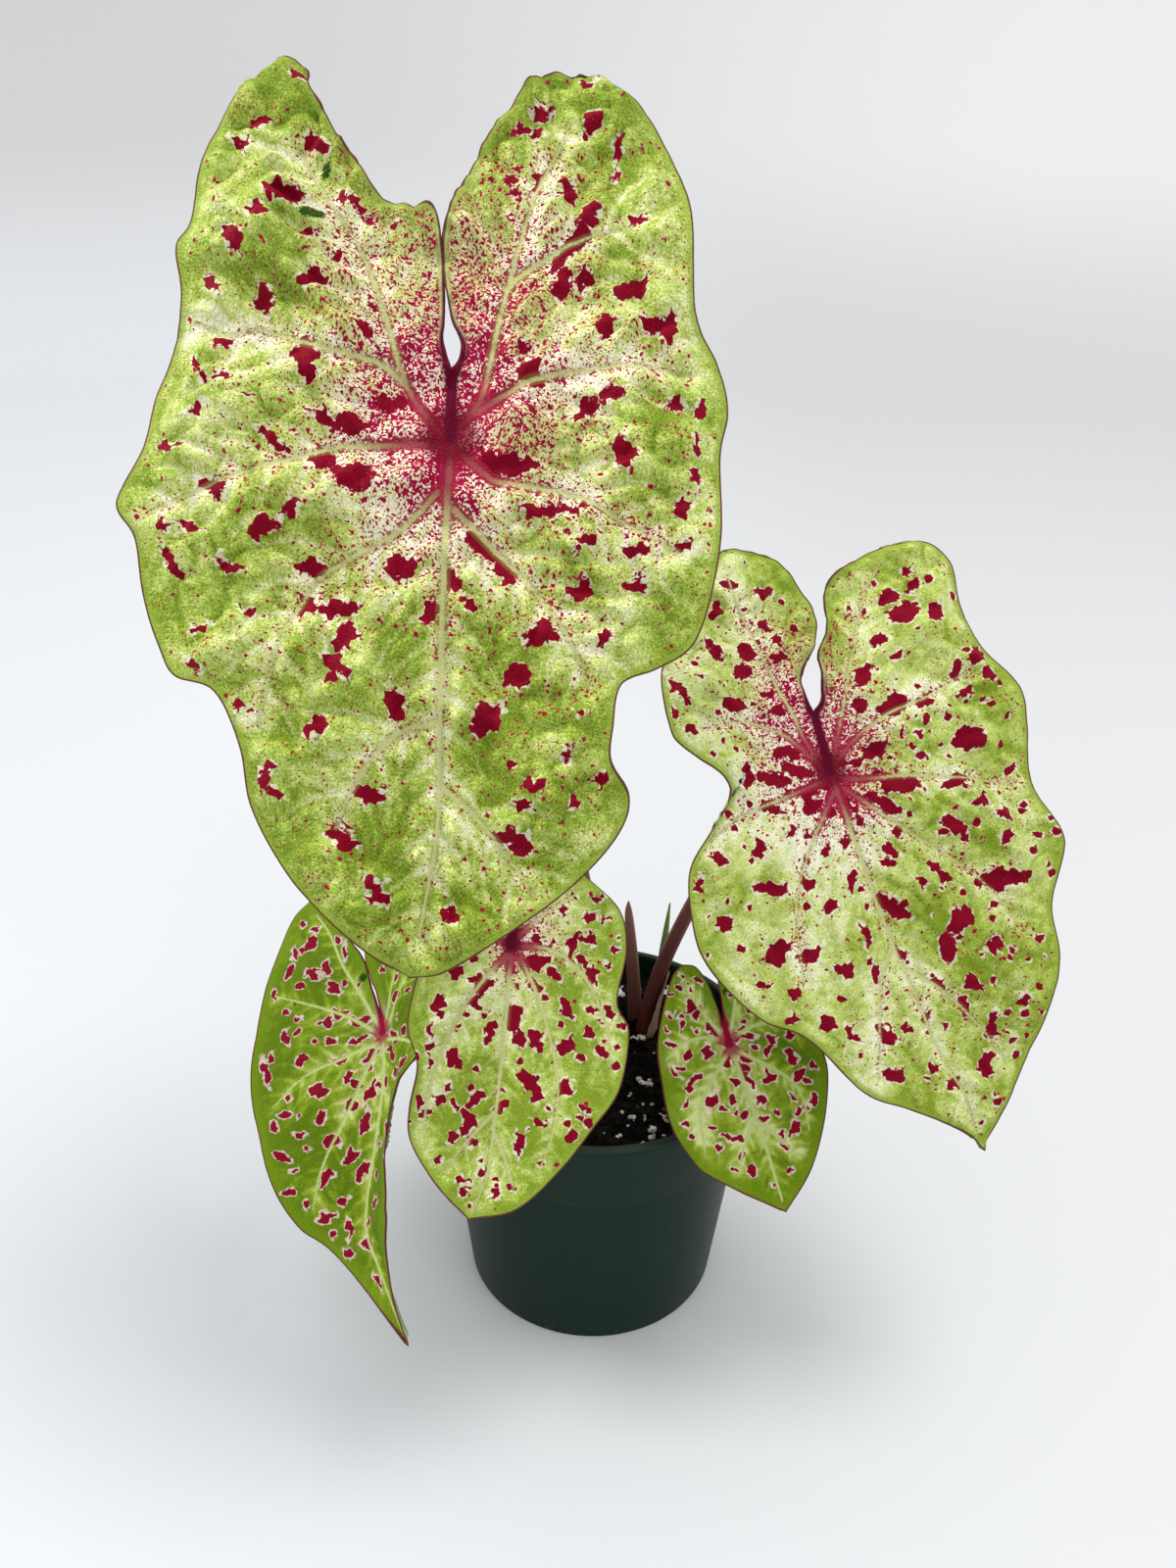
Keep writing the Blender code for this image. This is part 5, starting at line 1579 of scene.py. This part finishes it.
BLADE_E = Blade(
    "e", LeafKind.GREEN, (40.0, -37.0, 121.0), 8.0, 45.0, 13.5,
    midrib=((1, -42), (1, -30), (0, 0)),
    slit_left=((0.5, 6), (0.3, 13), (0, 18.5), (-2, 25), (-6, 27)),
    slit_right=((0.5, 6), (2, 13), (3.5, 20), (8, 24)),
    edge_left=((1, -51), (-10, -42), (-18, -34.5), (-21, -30), (-24.5, -18), (-23.5, -4.5),
               (-20.5, 7.5), (-11, 23), (-6, 27)),
    edge_right=((1, -51), (11.5, -42), (20, -30.5), (25, -20), (26.5, -12.5), (25, -2), (22, 8),
                (18, 16.5), (8, 24)),
    folds=(0.14, 0.14, 0.14), cup=0.0035, tip_droop=0.0018, lobe_droop=0.0020,
    stalk=((23, 6, 61), (27, 2, 75), (32, -3.5, 90), (36, -11, 106)),
    stalk_radii=(2.0, 1.4), breaks=(0.50, 0.60), row_shares=(8, 2, 6), soft=4.0,
    waves=2.0, wave_size=0.9, pleat=0.3,
    veins=(((-1, 1), (-7, 4), (-14, 4), (-20, 1)), ((-1, 2), (-5, 12), (-8, 22)),
           ((-1, -2), (-13, -13), (-16, -20), (-17, -28)),
           ((1, -2), (14, -15), (16, -24), (15, -31)),
           ((1, 1), (9, 3), (17, 1), (23, -4)), ((1, 2), (6, 12), (8, 20)),
           ((1, -22), (-5, -29), (-9, -36)), ((1, -24), (6, -31), (10, -38))),
    marks=MARKS_E, rumple=0.30, puff=0.30, branch_reach=9.0, rows=150, columns=46,
    speckle=(0.0, 2.0, 5.0, 6.0, 0.0), blush=4.0, flecks=FLECKS_E, green_and_shade_shift=0.16)
BLADES = (BLADE_A, BLADE_B, BLADE_C, BLADE_D, BLADE_E)

PALE_TOP = LeafTop(
    "leaf_pale_top",
    (display(242, 238, 212), display(222, 226, 166), display(190, 204, 110),
     display(148, 174, 58), display(102, 130, 6)),
    vein=display(190, 192, 128), rim=display(134, 160, 48), rim_width=2.6, block=1.7,
    grit=1.75, side_width=1.7, side_glow=0.38, vein_reach=1.05,
    halo=display(242, 232, 216), halo_width=0.36, blocky=0.72, throat=display(86, 0, 32),
    net=0.50)
SMOOTH_TOP = replace(
    PALE_TOP, name="leaf_smooth_top",
    grounds=(display(236, 236, 208), display(220, 225, 170), display(192, 206, 118),
             display(158, 179, 72), display(120, 146, 26)),
    grit=1.1, side_width=1.2, side_glow=0.20, net=0.32, blocky=0.50, small_marks=0.36)
GREEN_TOP = LeafTop(
    "leaf_green_top",
    (display(200, 208, 142), display(166, 182, 86), display(134, 155, 42),
     display(108, 133, 14), display(86, 113, 0)),
    vein=display(180, 193, 122), rim=display(100, 128, 6), rim_width=5.0, block=0.9,
    grit=0.35, side_width=1.3, side_glow=0.30, vein_reach=1.3,
    halo=display(240, 212, 210), halo_width=0.42, blocky=0.35, throat=display(136, 0, 46),
    net=0.08)


@dataclass
class Foliage:
    """All leaves with their stalks."""

    blades: tuple[Blade, ...] = BLADES

    def build(self) -> None:
        """Build each blade and its stalk, and fit them."""
        tops = {LeafKind.PALE: PALE_TOP.material(), LeafKind.GREEN: GREEN_TOP.material()}
        smooth_top = SMOOTH_TOP.material()
        under = LeafUnder("leaf_under").material()
        for blade in self.blades:
            leaf = blade.build((smooth_top if blade.smooth_ground else tops[blade.kind], under))
            fit(leaf, blade.kind.value, "blade_" + blade.letter)
            fit(blade.stalk_mesh(), "stalk", "petiole_" + blade.letter)


@dataclass
class Pot:
    """A round nursery pot with a rim band, a lip and drain holes."""

    sides: int = 160
    band_height: float = 25.0
    band_step: float = 0.6
    floor: float = 2.5
    holes: int = 6
    hole_radius: float = 4.0
    hole_circle: float = 31.0
    foot_round: float = 1.2
    lip_round: float = 0.9

    def profile(self) -> list[Pair]:
        """Points of the wall's section, from the middle of the underside."""
        band = POT_HEIGHT - self.band_height
        inside = pot_radius(self.floor) - POT_WALL
        foot, curl = self.foot_round, self.lip_round
        rounded = [(POT_BASE_RADIUS - foot + foot * math.sin(a), foot - foot * math.cos(a))
                   for a in (math.radians(step * 18.0) for step in range(6))]
        lip = [(POT_TOP_RADIUS - curl + curl * math.cos(a), POT_HEIGHT - curl + curl * math.sin(a))
               for a in (math.radians(step * 22.5) for step in range(5))]
        return [(0.0, 0.0), (20.0, 0.0)] + rounded + [
            (pot_radius(band) - self.band_step - 0.05, band - 1.2),
            (pot_radius(band) - self.band_step + 0.05, band - 0.7),
            (pot_radius(band) - 0.12, band - 0.1),
            (pot_radius(band), band + 0.2),
            (pot_radius(POT_HEIGHT - 3.4) - 0.35, POT_HEIGHT - 3.4),
            (pot_radius(POT_HEIGHT - 3.0) - 0.25, POT_HEIGHT - 3.0),
            (POT_TOP_RADIUS - 0.05, POT_HEIGHT - 2.5),
            (POT_TOP_RADIUS, POT_HEIGHT - 2.2)] + lip + [
            (POT_TOP_RADIUS - POT_WALL + 0.5, POT_HEIGHT),
            (POT_TOP_RADIUS - POT_WALL + 0.1, POT_HEIGHT - 0.3),
            (POT_TOP_RADIUS - POT_WALL, POT_HEIGHT - 0.8),
            (inside, self.floor + 2.0), (inside - 0.6, self.floor + 0.6),
            (inside - 2.0, self.floor), (20.0, self.floor), (0.0, self.floor)]

    def build(self) -> None:
        """Spin the wall, drill the drain holes and fit the pot."""
        wall = spun(self.profile(), self.sides)
        pot = new_object(wall, "pot_shell", [PotPlastic().material()], 35.0)
        self.drill(pot)
        fit(pot, "pot", "pot")

    def drill(self, pot: bpy.types.Object) -> None:
        """Cut the drain holes out of the pot's floor."""
        bm = bmesh.new()
        for hole in range(self.holes):
            turn = 2 * math.pi * (hole + 0.5) / self.holes
            middle = Vector((math.cos(turn), math.sin(turn), 0.0)) * self.hole_circle
            bmesh.ops.create_cone(bm, cap_ends=True, segments=32, radius1=self.hole_radius,
                                  radius2=self.hole_radius, depth=12.0,
                                  matrix=Matrix.Translation(middle))
        drills = new_object(bm, "drills", [])
        step = pot.modifiers.new("drain", "BOOLEAN")
        step.operation = "DIFFERENCE"
        step.solver = "EXACT"
        step.object = drills
        bpy.context.view_layer.update()
        graph = bpy.context.evaluated_depsgraph_get()
        cut = bpy.data.meshes.new_from_object(pot.evaluated_get(graph))
        pot.modifiers.clear()
        pot.data = cut
        bpy.data.objects.remove(drills, do_unlink=True)


@dataclass(frozen=True)
class Grains:
    """One kind of grain that lies on the soil.

    Attributes:
        name: Name of the piece.
        count: Number of grains.
        sizes: Smallest and largest radius in millimetres.
        flat: Height of a grain as a share of its width.
        lift: How far its middle stands over the soil, in radii.
        rounds: Subdivisions of the ball that each grain starts from.
        seed: Seed of the draws.
        clumps: Places and sizes of clumps that are laid first.
    """

    name: str
    count: int
    sizes: Pair
    flat: float
    lift: float
    rounds: int
    seed: int
    clumps: tuple[Triple, ...] = ()


CRUMBS = Grains("soil_crumbs", 950, (0.5, 1.9), 0.75, 0.2, 1, SEED)
CHIPS = Grains("bark_chips", 55, (0.4, 1.7), 0.4, 0.3, 2, SEED + 2)
PERLITE = Grains("perlite", 170, (0.3, 1.8), 0.8, 0.35, 2, SEED + 1, (
    (14.3, 9.9, 1.6), (7.9, 34.2, 1.9), (23.0, 37.3, 1.8), (16.3, -12.6, 1.6), (10.5, -17.7, 0.8),
    (12.0, -29.0, 1.5), (16.7, -29.2, 1.3), (18.1, -37.8, 1.9), (22.6, -30.4, 0.8),
    (26.0, 41.0, 1.3), (20.5, 35.0, 1.2)))


@dataclass
class Soil:
    """Crumbly black soil with crumbs, grains of perlite and chips of bark."""

    rings: int = 84
    sides: int = 240
    bottom: float = 2.8
    strewn_radius: float = 49.0
    stalk_room: float = 4.6
    stalk_spots: tuple[Pair, ...] = ((3.0, 23.0), (16.8, 16.2), (-2.0, 0.0), (5.0, 8.5),
                                     (30.0, -1.0), (13.5, 23.6), (20.6, 24.2))

    def height(self, x: float, y: float) -> float:
        """Height of the soil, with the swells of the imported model's soil."""
        waves = math.sin(0.37 * x + 1.3) * math.cos(0.31 * y - 0.7)
        rolls = 0.6 * math.sin(0.83 * x - 0.5 * y) + 0.5 * math.cos(0.71 * y + 0.29 * x + 2.0)
        return SOIL_LEVEL + 0.9 * (waves + rolls)

    def body(self) -> bpy.types.Object:
        """Spin the body of the soil and raise its crumbly top."""

        def reach(height: float) -> float:
            """Radius of the soil inside the wall."""
            return pot_radius(height) - POT_WALL - 0.15

        top = reach(SOIL_LEVEL)
        low = reach(self.bottom)
        profile = [(top * ring / self.rings, SOIL_LEVEL) for ring in range(self.rings + 1)]
        profile += [(reach(SOIL_LEVEL - 20.0), SOIL_LEVEL - 20.0), (low, self.bottom + 2.0),
                    (low - 2.2, self.bottom), (0.0, self.bottom)]
        bm = spun(profile, self.sides)
        for vert in bm.verts:
            if vert.co.z > SOIL_LEVEL - 1.0:
                x, y, _ = vert.co
                lumps = noise.fractal(Vector((x, y, 3.0)) / 4.2, 0.7, 2.1, 4)
                small = noise.noise(Vector((x, y, 9.0)) / 1.3)
                edge = min(1.0, (top - math.hypot(x, y)) / 2.0)
                vert.co.z = self.height(x, y) + edge * (0.9 * lumps + 0.45 * small)
        return new_object(bm, "soil_body", [Peat().material()], 180.0)

    def scatter(self, grains: Grains, look: bpy.types.Material) -> bpy.types.Object:
        """Strew rough grains over the soil.

        Args:
            grains: Their number and sizes.
            look: Their material.

        Returns:
            One object that holds all the grains.
        """
        dice = random.Random(grains.seed)
        smallest, largest = grains.sizes
        bm = bmesh.new()
        placed = 0
        while placed < grains.count:
            away = self.strewn_radius * math.sqrt(dice.random())
            turn = dice.uniform(0.0, 2 * math.pi)
            x, y = away * math.cos(turn), away * math.sin(turn)
            radius = smallest + (largest - smallest) * dice.random() ** 2.2
            if placed < len(grains.clumps) * CLUMP:
                middle_x, middle_y, spread = grains.clumps[placed // CLUMP]
                x = middle_x + dice.gauss(0.0, 0.7 * spread)
                y = middle_y + dice.gauss(0.0, 0.7 * spread)
                radius = spread * dice.uniform(0.25, 0.75)
            elif any(math.hypot(x - a, y - b) < self.stalk_room for a, b in self.stalk_spots):
                continue
            stretch = dice.uniform(0.75, 1.35)
            tilt = Matrix.Rotation(dice.uniform(0.0, 2 * math.pi), 4, "Z") \
                @ Matrix.Rotation(dice.uniform(-0.5, 0.5), 4, "X")
            spot = Matrix.Translation((x, y, self.height(x, y) + grains.lift * radius)) @ tilt \
                @ Matrix.Diagonal((radius * stretch, radius, radius * grains.flat, 1.0))
            made = bmesh.ops.create_icosphere(bm, subdivisions=grains.rounds, radius=1.0)
            for vert in made["verts"]:
                bumps = noise.noise(vert.co * 1.7 + Vector((placed * 3.1, 0.0, 0.0)))
                vert.co = vert.co * (1.0 + 0.5 * bumps)
            bmesh.ops.transform(bm, matrix=spot, verts=made["verts"])
            placed += 1
        return new_object(bm, grains.name, [look], 38.0)

    def build(self) -> None:
        """Build and fit the soil with what lies on it."""
        fit(self.body(), "soil", "soil")
        crumb = Peat("peat_crumb", display(12, 9, 8), display(44, 30, 22))
        white = Grit("perlite_white", display(240, 237, 230), display(176, 166, 152), 900.0)
        bark = Grit("bark_brown", display(84, 58, 40), display(40, 27, 20), 500.0)
        for grains, look in ((CRUMBS, crumb), (PERLITE, white), (CHIPS, bark)):
            fit(self.scatter(grains, look.material()), "soil")


@dataclass
class Crown:
    """Young shoots and the papery sheath that grow beside the stalks."""

    brown: tuple[tuple[Place, float], ...] = (
        ((14.0, 22.5, 63.0), 2.3), ((13.6, 23.2, 80.0), 2.5), ((12.4, 23.8, 100.0), 2.3),
        ((10.8, 23.4, 118.0), 1.8), ((9.8, 22.8, 128.0), 1.3), ((9.6, 22.6, 132.5), 0.3))
    green: tuple[tuple[Place, float], ...] = (
        ((20.0, 21.0, 63.0), 1.5), ((20.3, 23.5, 80.0), 1.5), ((21.4, 27.0, 98.0), 1.6),
        ((23.0, 30.0, 115.0), 1.1), ((24.0, 31.0, 127.0), 0.25))
    sheath_axis: tuple[Place, ...] = ((16.2, 15.8, 72.0), (16.4, 16.2, 86.0),
                                      (17.4, 17.2, 97.0), (19.2, 18.4, 107.0))
    sheath_radius: float = 3.9
    sheath_arc: Pair = (-100.0, 60.0)
    sheath_length: float = 35.0
    sheath_full: float = 0.35
    sheath_taper: float = 0.75
    sheath_wall: float = 0.35
    sheath_rows: int = 40
    sheath_columns: int = 28

    def shoot(self, name: str, stations: tuple[tuple[Place, float], ...],
              skin: StalkSkin) -> bpy.types.Object:
        """Sweep one pointed shoot, rolled like a closed leaf."""
        route = smooth_curve([place for place, _ in stations], 14)
        radii = smooth_curve([(radius, 0.0) for _, radius in stations], 14)[:, 0]
        bm = sweep(route, np.maximum(radii, 0.12), 20)
        return new_object(bm, name, [skin.material()], 60.0)

    def sheath(self) -> bpy.types.Object:
        """Bend a grid round the stalk's foot and give it a thin wall."""
        axis = smooth_curve(self.sheath_axis, 12)
        first, last = (math.radians(a) for a in self.sheath_arc)
        bm = bmesh.new()
        skin = bm.verts.layers.float_vector.new("skin")
        bmesh.ops.create_grid(bm, x_segments=self.sheath_columns, y_segments=self.sheath_rows,
                              size=1.0)
        for vert in bm.verts:
            across, share = vert.co.x, 0.5 * (vert.co.y + 1.0)
            middle = along(axis, np.array([share]))[0]
            above = max(0.0, share - self.sheath_full) / (1.0 - self.sheath_full)
            narrow = 1.0 - self.sheath_taper * above
            turn = 0.5 * (first + last) + 0.35 + 0.5 * (last - first) * narrow * across
            crumple = 0.25 * share * math.sin(9.0 * turn + 7.0 * share)
            flare = self.sheath_radius + 0.8 * share + crumple
            vert[skin] = Vector((turn, self.sheath_length * share, 0.0))
            vert.co = Vector(middle) + Vector((math.cos(turn), math.sin(turn), 0.0)) * flare
        bmesh.ops.recalc_face_normals(bm, faces=bm.faces[:])
        bmesh.ops.solidify(bm, geom=bm.faces[:], thickness=self.sheath_wall)
        return new_object(bm, "sheath_dry", [SheathPaper().material()], 60.0)

    def build(self) -> None:
        """Build and fit the shoots and the sheath."""
        brown = StalkSkin("shoot_brown_skin", display(118, 66, 62), display(160, 112, 100),
                          display(176, 132, 114), 85.0, 130.0)
        green = StalkSkin("shoot_green_skin", display(96, 120, 60), display(120, 158, 70),
                          display(166, 190, 110), 85.0, 125.0)
        fit(self.shoot("shoot_tall", self.brown, brown), "shoot_brown", "shoot_brown")
        fit(self.shoot("shoot_small", self.green, green), "shoot_green", "shoot_green")
        fit(self.sheath(), "sheath", "sheath")


@dataclass
class Studio:
    """Camera, soft lights and a pale floor that curves up all round."""

    eye: Place = (0.0, -0.366822, 0.380214)
    pitch: float = 27.61
    yaw: float = -0.707
    roll: float = 1.207
    lens: float = 31.5
    film: float = 36.0
    floor_radius: float = 1500.0
    floor_sides: int = 96
    wall_bend: float = 900.0
    aim: Place = (0.0, 0.0, 0.17)

    @staticmethod
    def stand(data: bpy.types.Camera | bpy.types.Light, turn: Matrix,
              spot: Place) -> bpy.types.Object:
        """Stand a camera or a light at a spot, turned by a matrix."""
        made = bpy.data.objects.new(data.name, data)
        pose = turn.to_4x4()
        pose.translation = Vector(spot)
        made.matrix_world = pose
        bpy.context.scene.collection.objects.link(made)
        return made

    def camera(self) -> None:
        """Put the camera where the photograph was taken from."""
        pitch, yaw, roll = (math.radians(a) for a in (self.pitch, self.yaw, self.roll))
        ahead = Vector((math.sin(yaw) * math.cos(pitch), math.cos(yaw) * math.cos(pitch),
                        -math.sin(pitch)))
        level = ahead.cross(Vector((0.0, 0.0, 1.0))).normalized()
        upward = level.cross(ahead)
        right = level * math.cos(roll) + upward * math.sin(roll)
        top = upward * math.cos(roll) - level * math.sin(roll)
        lens = bpy.data.cameras.new("camera")
        lens.lens = self.lens
        lens.sensor_fit = "VERTICAL"
        lens.sensor_height = self.film
        lens.clip_start = 0.01
        turn = Matrix((right, top, -ahead)).transposed()
        bpy.context.scene.camera = self.stand(lens, turn, self.eye)

    def lamp(self, name: str, spot: Place, size: float, power: float, colour: Triple,
             lit: Sequence[bpy.types.Object] = ()) -> None:
        """Hang a square soft light that faces the plant.

        Args:
            name: The light's name.
            spot: Where it hangs, in metres.
            size: Its side in metres.
            power: Its power in watts.
            colour: Its colour.
            lit: The only objects that it lights, or none for all of them.
        """
        light = bpy.data.lights.new(name, "AREA")
        light.size = size
        light.energy = power
        light.color = colour
        ahead = Vector(self.aim) - Vector(spot)
        hung = self.stand(light, ahead.to_track_quat("-Z", "Y").to_matrix(), spot)
        if lit:
            group = bpy.data.collections.new("lit_by_" + name)
            for thing in lit:
                group.objects.link(thing)
            hung.light_linking.receiver_collection = group

    def sky(self) -> None:
        """Light the whole scene evenly with a pale sky."""
        world = bpy.data.worlds.new("pale_sky")
        world.use_nodes = True
        back = world.node_tree.nodes["Background"]
        back.inputs["Color"].default_value = (0.97, 0.98, 0.99, 1.0)
        back.inputs["Strength"].default_value = 0.80
        bpy.context.scene.world = world
        bpy.context.scene.view_settings.view_transform = "Standard"

    def floor(self) -> None:
        """Spin a floor whose rim curves up into a low wall."""
        profile = [(0.0, 0.0), (300.0, 0.0), (self.floor_radius, 0.0)]
        for step in range(1, 13):
            turn = math.radians(step * 7.0)
            profile.append((self.floor_radius + self.wall_bend * math.sin(turn),
                            self.wall_bend * (1.0 - math.cos(turn))))
        bm = spun(profile, self.floor_sides)
        if sum(face.normal.z for face in bm.faces) < 0.0:
            bmesh.ops.reverse_faces(bm, faces=bm.faces[:])
        floor = new_object(bm, "floor_sweep", [FloorPaper().material()], 180.0)

    def build(self) -> None:
        """Set up the camera, the lights and the floor."""
        self.camera()
        self.sky()
        leaves = [thing for thing in bpy.data.objects if thing.name.startswith("leaf_")]
        self.lamp("rake", (-1.3, 0.12, 1.5), 0.4, 24.0, (1.0, 0.99, 0.97), leaves)
        self.lamp("key", (0.45, -0.05, 1.65), 0.6, 9.0, (1.0, 0.99, 0.98))
        self.lamp("fill", (0.9, -1.3, 0.9), 1.2, 5.0, (0.97, 0.98, 1.0))
        self.floor()


def main() -> None:
    """Build the plant, its pot and the studio."""
    logging.basicConfig(level=logging.INFO, format="%(message)s")
    Foliage().build()
    Pot().build()
    Soil().build()
    Crown().build()
    tuber = bpy.data.objects["tuber"]
    skin = TuberSkin().material()
    for slot in tuber.material_slots:
        slot.material = skin
    Studio().build()
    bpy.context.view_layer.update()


if __name__ == "__main__":
    main()
